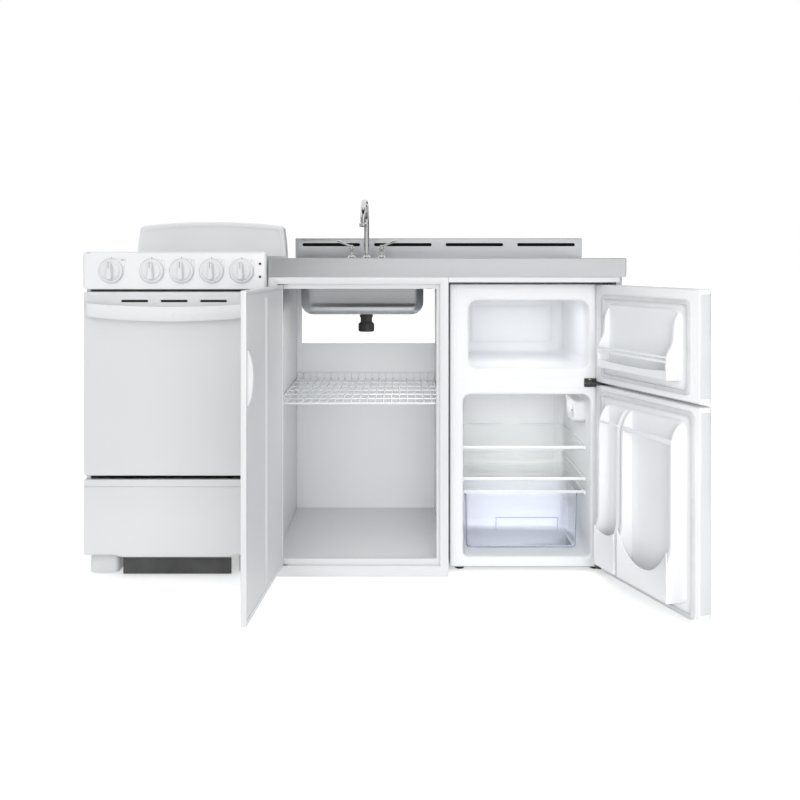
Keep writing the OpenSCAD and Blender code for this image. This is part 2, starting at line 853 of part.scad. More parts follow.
// a round skirt with an upright grip bar, bored for its stem
module knob(x, turned, deep_bore) {
    front = knob_face - skirt_thick;
    color(white)
    translate([x, 0, knob_h])
    difference() {
        union() {
            along_y(0, 0, front, knob_face, knob_r);
            along_y(0, 0, front - 4, front + bite, knob_r - 9);
            rotate([0, turned, 0])
            rounded_panel(-grip_wide / 2, grip_wide / 2, -grip_len / 2, grip_len / 2,
                front - grip_deep, front - 3, 6);
            // pointer rib
            rotate([0, turned, 0])
            block([-1, front - 1.2, knob_r - 9], [1, front + bite, knob_r - 2]);
        }
        difference() {
            along_y(0, 0, knob_face - deep_bore, knob_face + bite, stem_r + pin_play);
            block([-stem_r - 1, knob_face - deep_bore - 1, stem_r - 1 + pin_play],
                [stem_r + 1, knob_face - flat_from, stem_r + 2]);
        }
    }
}

stem_reach = 16;
flat_from = 8;
hob_bore = stem_reach + knob_push + 1.5;

module oven_knob() {
    knob(knob_xs[0], 0, 11);
    // its own short stem turns with it
    color("darkgray")
    along_y(knob_xs[0], knob_h, knob_face - 10, stem_end, stem_r);
}

module hob_knob_1() { knob(knob_xs[1], 0, hob_bore); }
module hob_knob_2() { knob(knob_xs[2], 0, hob_bore); }
module hob_knob_3() { knob(knob_xs[3], 0, hob_bore); }
module hob_knob_4() { knob(knob_xs[4], 0, hob_bore); }

// a control stem with a flat on the part inside the knob
module stem(x) {
    color("darkgray")
    translate([x, 0, knob_h])
    difference() {
        along_y(0, 0, knob_face - stem_reach, stem_end, stem_r);
        block([-stem_r - 1, knob_face - stem_reach - 1, stem_r - 1],
            [stem_r + 1, knob_face - flat_from + knob_push + move_gap, stem_r + 1]);
    }
}

module hob_stem_1() { stem(knob_xs[1]); }
module hob_stem_2() { stem(knob_xs[2]); }
module hob_stem_3() { stem(knob_xs[3]); }
module hob_stem_4() { stem(knob_xs[4]); }

module control_switches() {
    y0 = range_front + sheet;
    half_w = 18;
    half_h = 20;
    color("dimgray")
    for (x = knob_xs)
        difference() {
            block([x - half_w, y0, knob_h - half_h], [x + half_w, y0 + 24, knob_h + half_h]);
            along_y(x, knob_h, y0 - bite, y0 + 13, stem_r + pin_play);
        }
}

module indicator_lamps() {
    color("darkred")
    for (s = [-1, 1]) {
        along_y(lamp_x, lamp_mid + s * lamp_side, range_front - 1.5, range_front + 14, 4);
    }
}

module range_rear_cover() {
    y0 = casing_back;
    deep = 38;
    half_w = access_half + 12;
    low = access_low - 8;
    top = access_top + 10;
    cable_bore_r = 14;
    cable_x = range_mid + 45;
    color("lightgray")
    difference() {
        block([range_mid - half_w, y0, low], [range_mid + half_w, y0 + deep, top]);
        block([range_mid - half_w + sheet, y0 - bite, low + 3],
            [range_mid + half_w - sheet, y0 + deep - sheet, top - sheet]);
        along_z(cable_x, y0 + deep / 2, low - bite, low + 4, cable_bore_r);
    }
}

// SINK

module countertop() {
    t = steel;
    splash_x = counter_x + splash_in;
    splash_end = counter_end - splash_in;
    splash_y = wall_y - splash_thick;
    splash_top = counter_h + splash_h;
    slot_pitch = (splash_end - splash_x) / 4;
    color(steel_grey)
    difference() {
        union() {
            block([counter_x, front_y, cabinet_top], [counter_end, wall_y, counter_h]);
            block([splash_x, splash_y, counter_h - t], [splash_end, wall_y, splash_top]);
        }
        block([counter_x + t, front_y + t, cabinet_top - bite], [counter_end - t, wall_y - t, counter_h - t]);
        block([splash_x + t, splash_y + t, counter_h - 2 * t], [splash_end - t, wall_y - t, splash_top - t]);
        translate([0, 0, counter_h - 10])
        linear_extrude(20)
        rounded_outline(bowl_x - bowl_w / 2, bowl_x + bowl_w / 2, bowl_y, bowl_end_y, bowl_r);
        for (s = [-1:1])
            along_z(bowl_x + s * handle_side, faucet_y, counter_h - 10, counter_h + 10, shank_r + 0.4);
        // vent slots
        for (i = [0:3]) {
            mid = splash_x + (i + 0.5) * slot_pitch;
            z = counter_h + splash_h * 0.67;
            rounded_panel(mid - slot_len / 2, mid + slot_len / 2, z - slot_tall / 2, z + slot_tall / 2,
                splash_y - bite, splash_y + t + bite, slot_tall / 2 - lid / 2);
        }
    }
}

module sink_bowl() {
    t = steel;
    x0 = bowl_x - bowl_w / 2;
    x1 = bowl_x + bowl_w / 2;
    color(steel_grey)
    difference() {
        round_bottom_box(x0 - t, x1 + t, bowl_y - t, bowl_end_y + t, bowl_low - t, counter_h - t, bowl_r + t);
        round_bottom_box(x0, x1, bowl_y, bowl_end_y, bowl_low, counter_h, bowl_r);
        along_z(drain_x, bowl_mid_y, bowl_low - 10, bowl_low + 10, drain_r + 0.3);
    }
}

module drain_body() {
    color("black")
    translate([drain_x, bowl_mid_y, 0])
    difference() {
        union() {
            along_z(0, 0, bowl_low, bowl_low + 2, drain_r + 14);
            along_z(0, 0, drain_low, bowl_low + bite, drain_r);
        }
        along_z(0, 0, drain_low - bite, drain_low + trap_seat, drain_bore_r);
        along_z(0, 0, drain_low + trap_seat - bite, bowl_low + 3, drain_bore_r - 1);
    }
}

module drain_nut() {
    color("black")
    translate([drain_x, bowl_mid_y, 0])
    difference() {
        union() {
            along_z(0, 0, nut_low, nut_low + drain_nut_h, drain_nut_r - 2);
            // grip ribs
            for (a = [0:30:330])
                rotate([0, 0, a])
                block([drain_nut_r - 4, -2.5, nut_low + 1], [drain_nut_r, 2.5, nut_low - 2 + drain_nut_h]);
        }
        along_z(0, 0, drain_low, drain_low + drain_nut_h, drain_r + 0.1);
        along_z(0, 0, nut_low - bite, drain_low + bite, drain_bore_r + 1);
    }
}

module strainer_basket() {
    rim_z = bowl_low + 2 + move_gap;
    cup_r = drain_bore_r - 3;
    cup_low = rim_z - 14;
    post_r = 3;
    color(steel_grey)
    translate([drain_x, bowl_mid_y, 0])
    difference() {
        union() {
            along_z(0, 0, rim_z, rim_z + 1.5, drain_r + 8);
            along_z(0, 0, cup_low, rim_z + bite, cup_r);
            along_z(0, 0, cup_low, rim_z + 12, post_r);
            along_z(0, 0, rim_z + 12 - bite, rim_z + 16, 6);
        }
        difference() {
            along_z(0, 0, cup_low + 1.5, rim_z + 2, cup_r - 1.5);
            along_z(0, 0, cup_low + 1, rim_z + 3, post_r);
        }
        for (a = [0:60:300])
            rotate([0, 0, a])
            along_z(7.5, 0, rim_z - 20, rim_z - 5, 1.6);
    }
}

module faucet_body() {
    nut_z = shank_low + shank_free;
    dome_r = 15;
    color("gainsboro")
    difference() {
        union() {
            for (s = [-1:1])
                translate([bowl_x + s * handle_side, faucet_y, counter_h]) {
                    cylinder(h = 3, r = dome_r);
                    translate([0, 0, 3 - lid])
                    cylinder(h = 9, r1 = dome_r, r2 = 10);
                    if (s != 0)
                        cylinder(h = hub_h - counter_h, r = 8.5);
                    if (s == 0)
                        cylinder(h = spout_seat - counter_h, r = 10);
                }
            for (x = handle_xs) {
                along_z(x, faucet_y, shank_low, counter_h + bite, shank_r);
                along_z(x, faucet_y, nut_z, nut_z + shank_nut_h, shank_r + 4);
            }
            along_z(bowl_x, faucet_y, counter_h - 30, counter_h + bite, 9);
            along_x(faucet_y, nut_z + shank_nut_h / 2, handle_xs[0], handle_xs[1], 6);
        }
        for (x = handle_xs)
            along_z(x, faucet_y, hub_h - 12, hub_h + bite, lever_pin_r + pin_play);
        along_z(bowl_x, faucet_y, spout_seat - 12, spout_seat + bite, spout_pin_r + pin_play);
    }
}

module faucet_spout() {
    z0 = spout_seat + move_gap;
    mid_z = counter_h + neck_h - spout_r - neck_r;
    color("gainsboro")
    translate([bowl_x, faucet_y, 0])
    rotate([0, 0, -spout_turn]) {
        along_z(0, 0, spout_seat - 11, z0 + bite, spout_pin_r);
        along_z(0, 0, z0, z0 + 8, 10);
        along_z(0, 0, z0, mid_z, spout_r);
        translate([0, -neck_r, mid_z])
        rotate([90, 0, 90])
        rotate_extrude(angle = 180)
        translate([neck_r, 0])
        circle(spout_r);
        along_z(0, -2 * neck_r, mid_z - 6, mid_z, spout_r);
        difference() {
            along_z(0, -2 * neck_r, mid_z - 20, mid_z - 4, 12);
            along_z(0, -2 * neck_r, mid_z - 21, mid_z - 12, 9.5);
        }
    }
}

module lever(side) {
    z0 = hub_h + move_gap;
    cap_h = 13;
    cap_r = 9;
    lean = 68;
    color("gainsboro")
    translate([bowl_x + side * handle_side, faucet_y, 0]) {
        along_z(0, 0, hub_h - 11, z0 + bite, lever_pin_r);
        along_z(0, 0, z0, z0 + cap_h, cap_r);
        translate([0, 0, z0 + cap_h - lid])
        cylinder(h = 4, r1 = cap_r, r2 = 5);
        translate([0, 0, z0 + 9])
        rotate([0, side * lean, 0]) {
            cylinder(h = lever_len, r1 = 4.2, r2 = 3.2);
            translate([0, 0, lever_len])
            sphere(4.4);
        }
    }
}

module hot_lever() { lever(-1); }
module cold_lever() { lever(1); }

// SINK CABINET

// a folded steel panel, hollow and open on its hidden side
module folded_panel(x, y0, hidden_side) {
    hollow_x = hidden_side < 0 ? x - bite : x + sheet;
    difference() {
        block([x, y0, 0], [x + board, cabinet_y_end, cabinet_top]);
        block([hollow_x, y0 + sheet, sheet],
            [hollow_x + board - sheet + bite, cabinet_y_end - sheet, cabinet_top - sheet]);
    }
}

module cabinet_panels() {
    color(white) {
        folded_panel(counter_x, frame_back, -1);
        folded_panel(cabinet_end - board, frame_back, 1);
        // end panel beside the refrigerator
        folded_panel(counter_end - board, fridge_y, -1);
        // filler strip above the refrigerator
        block([cabinet_end, frame_y, cabinet_top - 15], [counter_end, frame_y + 14, cabinet_top]);
    }
}

module cabinet_back() {
    color("gainsboro")
    block([counter_x + board, cabinet_y_end - 4, low_rail - 10],
        [cabinet_end - board, cabinet_y_end, low_rail - 10 + back_panel_h]);
}

module cabinet_floor() {
    top = low_rail - 6;
    runner_w = 40;
    color("lightgray") {
        block([counter_x + board, frame_back, top - 4], [cabinet_end - board, cabinet_y_end - 4, top]);
        // runners that stand on the floor
        middle = (counter_x + cabinet_end) / 2;
        for (x = [counter_x + board, middle - runner_w / 2, cabinet_end - board - runner_w])
            block([x, frame_back, 0], [x + runner_w, cabinet_y_end - 4, top - 4 + bite]);
    }
}

module face_frame() {
    color(white)
    difference() {
        block([counter_x, frame_y, 0], [cabinet_end, frame_back, cabinet_top]);
        block([open_x, frame_y - bite, open_low], [open_end, frame_back + bite, open_top]);
        block([sdoor_x - rebate_gap, frame_y - bite, sdoor_low - rebate_gap],
            [sdoor_end + rebate_gap, frame_y + sink_door_thick + 1, sdoor_top + rebate_gap]);
    }
}

// turns a closed door to the pose it rests in
module opened(x, y, angle) {
    translate([x, y, 0])
    rotate([0, 0, angle])
    translate([-x, -y, 0])
    children();
}

liner_y = frame_y + sink_door_thick - sheet;

module sink_door_skin() {
    color(white)
    opened(spin_x, spin_y, -sink_door_angle)
    difference() {
        front_pan(sdoor_x, sdoor_end, sdoor_low, sdoor_top, frame_y, liner_y, sheet);
        block([pocket_x, frame_y - bite, pocket_z], [pocket_x + pocket_w, frame_y + 5, pocket_z + pocket_h]);
        along_z(spin_x, spin_y, sdoor_low - bite, sdoor_top + bite, sink_pin_r + pin_play);
    }
}

module sink_door_liner() {
    mid = (sdoor_x + sdoor_end) / 2;
    wall = 1.5;
    color("gainsboro")
    opened(spin_x, spin_y, -sink_door_angle) {
        difference() {
            union() {
                block([sdoor_x, liner_y, sdoor_low], [sdoor_end, liner_y + sheet, sdoor_top]);
                // stiffening rib
                block([mid - 16, liner_y + sheet - bite / 4, sdoor_low + 30],
                    [mid + 16, liner_y + sheet + 6, sdoor_top - 30]);
                // pull pocket
                block([pocket_x - wall, frame_y + sheet, pocket_z - wall],
                    [pocket_x + pocket_w + wall, liner_y + 14, pocket_z + pocket_h + wall]);
            }
            block([pocket_x, frame_y, pocket_z], [pocket_x + pocket_w, liner_y + 12, pocket_z + pocket_h]);
        }
    }
}

clip_w = 10;
clip_xs = [counter_x + board, cabinet_end - board - clip_w];

module cabinet_fittings() {
    plate_x = spin_x - 3;
    plate_end = spin_x + 22;
    plate_y = spin_y - 3;
    plate_y_end = spin_y + 8;
    clip_top = shelf_h - shelf_wire / 2;
    color("silver") {
        // pivot pins of the sink door, each on its own small plate
        block([plate_x, plate_y, sdoor_low - rebate_gap], [plate_end, plate_y_end, sdoor_low - 1.5]);
        along_z(spin_x, spin_y, sdoor_low - 2, sdoor_low + 9, sink_pin_r);
        block([plate_x, plate_y, sdoor_top + 1.5], [plate_end, plate_y_end, sdoor_top + rebate_gap]);
        along_z(spin_x, spin_y, sdoor_top - 9, sdoor_top + 2, sink_pin_r);
        // magnetic catches
        block([open_end - 34, frame_back, open_top], [open_end - 8, frame_back + 12, open_top + 12]);
        block([open_end, frame_back, open_low + 12], [open_end + 12, frame_back + 12, open_low + 40]);
        // shelf clips
        for (x = clip_xs, y = [frame_back + 40, cabinet_y_end - 60])
            block([x, y, clip_top - 8], [x + clip_w, y + 16, clip_top]);
    }
}

module wire_shelf() {
    x0 = counter_x + board + 4;
    x1 = cabinet_end - board - 4;
    y0 = frame_back + 10;
    y1 = cabinet_y_end - 12;
    rails = 7;
    rail_wire = 4.4;
    color("white") {
        for (i = [0:rails - 1])
            along_x(y0 + i * (y1 - y0) / (rails - 1), shelf_h, x0, x1, (i == 0 ? shelf_wire : rail_wire) / 2);
        for (x = [x0, x1])
            along_y(x, shelf_h, y0, y1, shelf_wire / 2 - 0.1);
        for (i = [1:cross_wires])
            along_y(x0 + i * (x1 - x0) / (cross_wires + 1), shelf_h + 3.3, y0, y1, cross_wire / 2);
    }
}

// REFRIGERATOR

// a solid with the given outline in Y and Z, from x0 to x1
module side_outline(x0, x1, points) {
    translate([x0, 0, 0])
    rotate([90, 0, 90])
    linear_extrude(x1 - x0)
    polygon(points);
}

function shell_outline(g, front) = [
    [front, fridge_feet + g], [niche_y - g, fridge_feet + g], [niche_y - g, niche_top + g],
    [fridge_back - g, niche_top + g], [fridge_back - g, fridge_top - g], [front, fridge_top - g]
];

function cavity_outline(g, front) = [
    [front, cavity_low - g], [step_y + g, cavity_low - g], [step_y + g, step_top - g],
    [cavity_back + g, step_top - g], [cavity_back + g, cavity_top + g], [front, cavity_top + g]
];

module freezer_space(g, y0) {
    corner = 26;
    rounded_panel(freezer_x - g, freezer_end + g, freezer_low - g, freezer_top + g,
        y0, freezer_back + g, corner + g);
}

module fridge_shell() {
    color(white) {
        difference() {
            side_outline(fridge_x, fridge_end, shell_outline(0, fridge_y));
            side_outline(fridge_x + sheet, fridge_end - sheet, shell_outline(sheet, fridge_y - bite));
        }
        // compressor base with its side cheeks
        block([fridge_x, niche_y - bite, fridge_feet], [fridge_end, fridge_back, fridge_feet + 2]);
        for (x = [fridge_x, fridge_end - sheet])
            block([x, niche_y - bite, fridge_feet], [x + sheet, fridge_back, niche_top + bite]);
        // feet
        for (x = [fridge_x + 30, fridge_end - 30], y = [fridge_y + 30, fridge_back - 30])
            along_z(x, y, 0, fridge_feet + 1, 14);
    }
}

module fridge_liner() {
    g = liner_thick;
    color("white")
    difference() {
        union() {
            block([fridge_x + sheet, fridge_y, fridge_feet + sheet],
                [fridge_end - sheet, fridge_y + liner_face, fridge_top - sheet]);
            side_outline(cavity_x - g, cavity_end + g, cavity_outline(g, fridge_y + 1));
            freezer_space(g, fridge_y + 1);
        }
        difference() {
            side_outline(cavity_x, cavity_end, cavity_outline(0, fridge_y - bite));
            // ledges that carry the shelves and the crisper's cover
            for (x = [cavity_x - bite, cavity_end - 8],
                z = [upper_shelf_h - glass, lower_shelf_h - glass, cover_h - glass])
                block([x, shelf_front + 4, z - 7 - move_gap / 2],
                    [x + 8 + bite, cavity_back - 4, z - move_gap / 2]);
        }
        freezer_space(0, fridge_y - bite);
    }
}

module fridge_foam() {
    g = liner_thick + lid;
    color("khaki")
    difference() {
        side_outline(fridge_x + sheet + lid, fridge_end - sheet - lid,
            shell_outline(sheet + lid, fridge_y + liner_face + lid));
        side_outline(cavity_x - g, cavity_end + g, cavity_outline(g, fridge_y));
        freezer_space(g, fridge_y);
    }
}

// outer shell of a refrigerator door, closed
module door_shell(z0, z1) {
    boss_h = 16;
    color(white)
    opened(fpin_x, fpin_y, fridge_door_angle)
    difference() {
        union() {
            front_pan(fdoor_x, fdoor_end, z0, z1, front_y, fdoor_back - 3, sheet);
            for (z = [z0, z1 - boss_h])
                along_z(fpin_x, fpin_y, z, z + boss_h, 10);
        }
        along_z(fpin_x, fpin_y, z0 - bite, z1 + bite, fridge_pin_r + pin_play);
    }
}

// moulded inner face with its gasket
module door_face(z0, z1, x0, x1, low, high) {
    block([fdoor_x, fdoor_back - 3, z0], [fdoor_end, fdoor_back, z1]);
    difference() {
        rounded_panel(x0 - 20, x1 + 14, low - gasket_out, high + gasket_out,
            fdoor_back, fdoor_back + gasket_thick, 18);
        rounded_panel(x0 - 8, x1 + 4, low - 4, high + 4,
            fdoor_back - bite, fdoor_back + gasket_thick + bite, 8);
    }
}

// an upright cheek that carries racks
module cheek(x, low, high, reach) {
    side_outline(x, x + 6, [
        [fdoor_back - bite, low], [fdoor_back + reach * 0.8, low], [fdoor_back + reach, low + 20],
        [fdoor_back + reach, low + 95], [fdoor_back + reach * 0.45, low + 150],
        [fdoor_back + reach * 0.45, high - 60], [fdoor_back + reach * 0.8, high - 30],
        [fdoor_back + reach * 0.8, high], [fdoor_back - bite, high]
    ]);
}

rack_x = cavity_x + 18;
rack_end = fpin_x - 171;
can_x = rack_end + 15;
can_end = fpin_x - 60;

module rack_bar(x0, x1, reach, z, tall) {
    block([x0, fdoor_back + reach - 4, z], [x1, fdoor_back + reach, z + tall]);
}

module fridge_door_skin() { door_shell(fdoor_low, fridge_door_top); }

module fridge_door_liner() {
    low = cavity_low + 12;
    high = cavity_top - 14;
    color("white")
    opened(fpin_x, fpin_y, fridge_door_angle) {
        door_face(fdoor_low, fridge_door_top, cavity_x - 4, cavity_end + 2, cavity_low - 6, cavity_top + 4);
        // bottle rack
        for (x = [rack_x, rack_end - 6])
            cheek(x, low, high, rack_reach);
        block([rack_x, fdoor_back - bite, low], [rack_end, fdoor_back + rack_reach * 0.8, low + 4]);
        block([rack_x, fdoor_back - bite, high - 60], [rack_end, fdoor_back + rack_reach * 0.8, high - 56]);
        rack_bar(rack_x, rack_end, rack_reach, low + 70, 22);
        rack_bar(rack_x, rack_end, rack_reach * 0.8, high - 25, 14);
        // can dispenser
        for (x = [can_x, can_end - 6])
            cheek(x, low, high, rack_reach);
        block([can_x, fdoor_back - bite, low], [can_end, fdoor_back + rack_reach * 0.8, low + 4]);
        rack_bar(can_x, can_end, rack_reach, low + 20, 30);
        block([can_x, fdoor_back - bite, high - 4], [can_end, fdoor_back + rack_reach * 0.8, high]);
    }
}

module freezer_door_skin() { door_shell(zdoor_low, zdoor_top - 1); }

module freezer_door_liner() {
    low = freezer_low + 14;
    high = freezer_top - 12;
    reach = rack_reach * 0.8;
    color("white")
    opened(fpin_x, fpin_y, fridge_door_angle) {
        door_face(zdoor_low, zdoor_top - 1, freezer_x - 4, freezer_end + 2, freezer_low - 4, freezer_top + 4);
        for (x = [freezer_x + 16, can_end - 6])
            side_outline(x, x + 6, [
                [fdoor_back - bite, low], [fdoor_back + reach, low], [fdoor_back + reach, low + 70],
                [fdoor_back + reach * 0.4, low + 110], [fdoor_back + reach * 0.4, high],
                [fdoor_back - bite, high]
            ]);
        block([freezer_x + 16, fdoor_back - bite, low], [can_end, fdoor_back + reach, low + 4]);
        rack_bar(freezer_x + 16, can_end, reach, low + 48, 18);
    }
}

module fridge_hinges() {
    plate = 4;
    left = fpin_x - 22;
    leaf_x = left - 30;
    low_z = fridge_feet + 4;
    mid_z = fridge_door_top + 2;
    color("dimgray") {
        // bottom
        block([left, fpin_y - 10, low_z], [fridge_end, fridge_y, low_z + plate]);
        along_z(fpin_x, fpin_y, low_z + plate - bite, fdoor_low + 12, fridge_pin_r);
        // middle, with its upright leaf on the divider
        block([leaf_x, fpin_y - 10, mid_z], [fridge_end, fridge_y, mid_z + plate]);
        block([leaf_x, fridge_y - 3, mid_z - 12], [fpin_x - 16, fridge_y, mid_z + 14]);
        along_z(fpin_x, fpin_y, fridge_door_top - 12, zdoor_low + 12, fridge_pin_r);
        // top
        block([left, fpin_y - 10, fridge_top], [fridge_end, fridge_y + 40, fridge_top + plate]);
        along_z(fpin_x, fpin_y, zdoor_top - 13, fridge_top + bite, fridge_pin_r);
    }
}

// a glass shelf with a moulded front trim
module glass_shelf(z) {
    color("azure") {
        block([cavity_x + 2, shelf_front + 2, z - glass], [cavity_end - 2, shelf_back, z]);
    }
    color(white)
    difference() {
        block([cavity_x + 2, shelf_front - 4, z - glass - 3], [cavity_end - 2, shelf_front + 10, z + 3]);
        block([cavity_x, shelf_front + 2, z - glass], [cavity_end, shelf_front + 11, z]);
        for (x = [cavity_x, cavity_end - 10])
            block([x, shelf_front + 2, z - glass - 4], [x + 10, shelf_front + 11, z]);
    }
}

module upper_shelf() { glass_shelf(upper_shelf_h); }
module lower_shelf() { glass_shelf(lower_shelf_h); }

module crisper_cover() {
    color("azure")
    block([cavity_x + 2, shelf_front + 6, cover_h - glass], [cavity_end - 2, shelf_back, cover_h]);
}

module crisper() {
    w = crisper_wall;
    color("lightblue")
    difference() {
        round_bottom_box(crisper_x, crisper_end, shelf_front, crisper_back, crisper_low, crisper_rim_h, 10);
        round_bottom_box(crisper_x + w, crisper_end - w, shelf_front + w, crisper_back - w,
            crisper_low + w, crisper_rim_h + bite, 8);
    }
}

module thermostat_housing() {
    color("white")
    difference() {
        block([lamp_box_x, lamp_box_y, lamp_box_z],
            [cavity_end, lamp_box_y + lamp_box_len, lamp_box_z + lamp_box_h]);
        block([lamp_box_x + 2, lamp_box_y + 2, lamp_box_z + 2],
            [cavity_end + bite, lamp_box_y + lamp_box_len - 2, lamp_box_z + lamp_box_h - 2]);
        along_x(dial_y, dial_z, lamp_box_x - bite, lamp_box_x + 3, stem_r + pin_play);
    }
}

module thermostat_knob() {
    color("white") {
        along_x(dial_y, dial_z, lamp_box_x - 9, lamp_box_x - move_gap, 15);
        along_x(dial_y, dial_z, lamp_box_x - 2, lamp_box_x + 14, stem_r);
    }
}

pipe_pitch = 62;

module cooling_unit() {
    pipe_d = 5;
    passes = 8;
    pump_r = 55;
    pump_low = fridge_feet + 12;
    pump_h = 100;
    pipe_low = niche_top + 70;
    pipe_top = pipe_low + (passes - 1) * pipe_pitch;
    pump_x = fridge_end - 138;
    pump_y = (niche_y + fridge_back) / 2;
    pipe_y = fridge_back + 9;
    x0 = fridge_x + 40;
    x1 = fridge_end - 40;
    color("dimgray") {
        // compressor
        along_z(pump_x, pump_y, pump_low, pump_low + pump_h, pump_r);
        along_z(pump_x, pump_y, pump_low + pump_h - 2, pump_low + pump_h + 10, 42);
        for (a = [45:90:315])
            translate([pump_x, pump_y, 0])
            rotate([0, 0, a])
            along_z(pump_r - 5, 0, fridge_feet + 2, pump_low + bite, 6);
        // condenser: one pipe to and fro, with upright wires in front of it
        translate([0, pipe_y, 0])
        rotate([90, 0, 0])
        bent_rod([for (i = [0:passes - 1]) for (e = [0, 1])
            [(i + e) % 2 == 0 ? x0 : x1, pipe_low + i * pipe_pitch]], 18, pipe_d);
        for (i = [1:9])
            along_z(x0 + i * (x1 - x0) / 10, pipe_y + 3.2, pipe_low - 15, pipe_top + 10, 1);
        for (x = [x0 + 50, x1 - 50], z = [pipe_low, pipe_top])
            along_y(x, z, fridge_back, pipe_y, 4);
    }
}

range_casing();
oven_liner();
oven_insulation();
oven_elements();
oven_rack();
oven_door_skin();
oven_door_liner();
oven_door_gasket();
oven_door_handle();
storage_drawer();
range_legs();
cooktop();
drip_bowls();
coil_elements();
backguard();
control_panel();
oven_knob();
hob_knob_1();
hob_knob_2();
hob_knob_3();
hob_knob_4();
hob_stem_1();
hob_stem_2();
hob_stem_3();
hob_stem_4();
control_switches();
indicator_lamps();
range_rear_cover();
countertop();
sink_bowl();
drain_body();
drain_nut();
strainer_basket();
faucet_body();
faucet_spout();
hot_lever();
cold_lever();
cabinet_panels();
cabinet_back();
cabinet_floor();
face_frame();
sink_door_skin();
sink_door_liner();
cabinet_fittings();
wire_shelf();
fridge_shell();
fridge_liner();
fridge_foam();
freezer_door_skin();
freezer_door_liner();
fridge_door_skin();
fridge_door_liner();
fridge_hinges();
upper_shelf();
lower_shelf();
crisper_cover();
crisper();
thermostat_housing();
thermostat_knob();
cooling_unit();
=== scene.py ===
"""Kitchenette with an electric range, a steel sink counter, a sink cabinet and a two-door refrigerator."""
from math import acos, atan2, cos, exp, hypot, pi, radians, sin, sqrt, tan

import bmesh
import bpy
from mathutils import Matrix, Vector


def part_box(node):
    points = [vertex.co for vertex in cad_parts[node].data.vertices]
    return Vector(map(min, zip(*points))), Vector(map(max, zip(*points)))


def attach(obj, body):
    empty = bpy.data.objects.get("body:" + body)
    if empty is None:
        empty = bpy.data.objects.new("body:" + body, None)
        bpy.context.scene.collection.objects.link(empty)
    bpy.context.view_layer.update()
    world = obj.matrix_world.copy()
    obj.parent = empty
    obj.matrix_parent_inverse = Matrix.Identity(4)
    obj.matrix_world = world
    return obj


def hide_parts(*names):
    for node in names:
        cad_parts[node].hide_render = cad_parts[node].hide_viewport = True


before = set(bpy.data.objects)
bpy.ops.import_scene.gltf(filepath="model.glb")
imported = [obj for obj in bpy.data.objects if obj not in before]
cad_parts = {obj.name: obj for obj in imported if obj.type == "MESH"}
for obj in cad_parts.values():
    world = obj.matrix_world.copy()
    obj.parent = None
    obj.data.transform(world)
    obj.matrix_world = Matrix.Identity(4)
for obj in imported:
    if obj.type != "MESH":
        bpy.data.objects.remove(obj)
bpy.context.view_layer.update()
MM = 0.001
NO_CAPS = (False, False)


# Short words for Blender's own things

def added(name, data):
    """A new object in the scene, with that data."""
    thing = bpy.data.objects.new(name, data)
    bpy.context.scene.collection.objects.link(thing)
    return thing


def from_bmesh(name, bm):
    mesh = bpy.data.meshes.new(name)
    bm.to_mesh(mesh)
    bm.free()
    return mesh


def wired(tree):
    """A word for one node tree: node(kind, {socket: number or link}, setting=value) makes a node."""
    def node(kind, values=None, **settings):
        made = tree.nodes.new(kind)
        for key, value in settings.items():
            setattr(made, key, value)
        for key, value in (values or {}).items():
            if isinstance(value, bpy.types.NodeSocket):
                tree.links.new(value, made.inputs[key])
            else:
                made.inputs[key].default_value = value
        return made
    return node


def emptied(owner):
    """The word for the cleared node tree of a world or a material."""
    owner.use_nodes = True
    owner.node_tree.nodes.clear()
    return wired(owner.node_tree)


# Camera, floor and lamps

def make_camera():
    """A level camera at countertop height; the shift puts its horizon where the photograph has it."""
    lens = bpy.data.cameras.new("studio_camera")
    lens.sensor_width = 36.0
    lens.lens = 41.86
    lens.shift_y = -0.1775
    lens.clip_end = 60.0
    camera = added("studio_camera", lens)
    camera.location = (0.1266, -2.972, 0.914)
    camera.rotation_euler = (radians(90), 0, 0)
    bpy.context.scene.camera = camera


make_camera()


def lamp(name, kind, power, way, place=(0, 0, 0)):
    """A lamp that glosses don't mirror."""
    light = bpy.data.lights.new(name, kind)
    light.energy = power
    holder = added(name, light)
    holder.location = place
    holder.rotation_euler = Vector(way).to_track_quat("-Z", "Y").to_euler()
    holder.visible_glossy = False
    return light, holder


def soft_lamp(name, place, aim, size, power):
    """A broad lamp, out of the camera's sight."""
    light, holder = lamp(name, "AREA", power, Vector(aim) - Vector(place), place)
    light.shape = "RECTANGLE"
    light.size, light.size_y = size
    holder.visible_camera = False


def wide_sun(name, way, strength, spread):
    """A very soft sun: it lights the floor evenly as far as the camera sees."""
    lamp(name, "SUN", strength, way)[0].angle = radians(spread)


def seen_ray(node):
    """1 for a ray from the camera, off a gloss or through glass that has met no matt face, or else 0."""
    path = node("ShaderNodeLightPath").outputs
    either = node("ShaderNodeMath", {0: path["Is Camera Ray"], 1: path["Is Glossy Ray"]},
                  operation="MAXIMUM")
    seen = node("ShaderNodeMath", {0: either.outputs[0], 1: path["Is Transmission Ray"]},
                operation="MAXIMUM")
    first = node("ShaderNodeMath", {0: path["Diffuse Depth"], 1: 0.5}, operation="LESS_THAN")
    return node("ShaderNodeMath", {0: seen.outputs[0], 1: first.outputs[0]},
                operation="MULTIPLY").outputs[0]


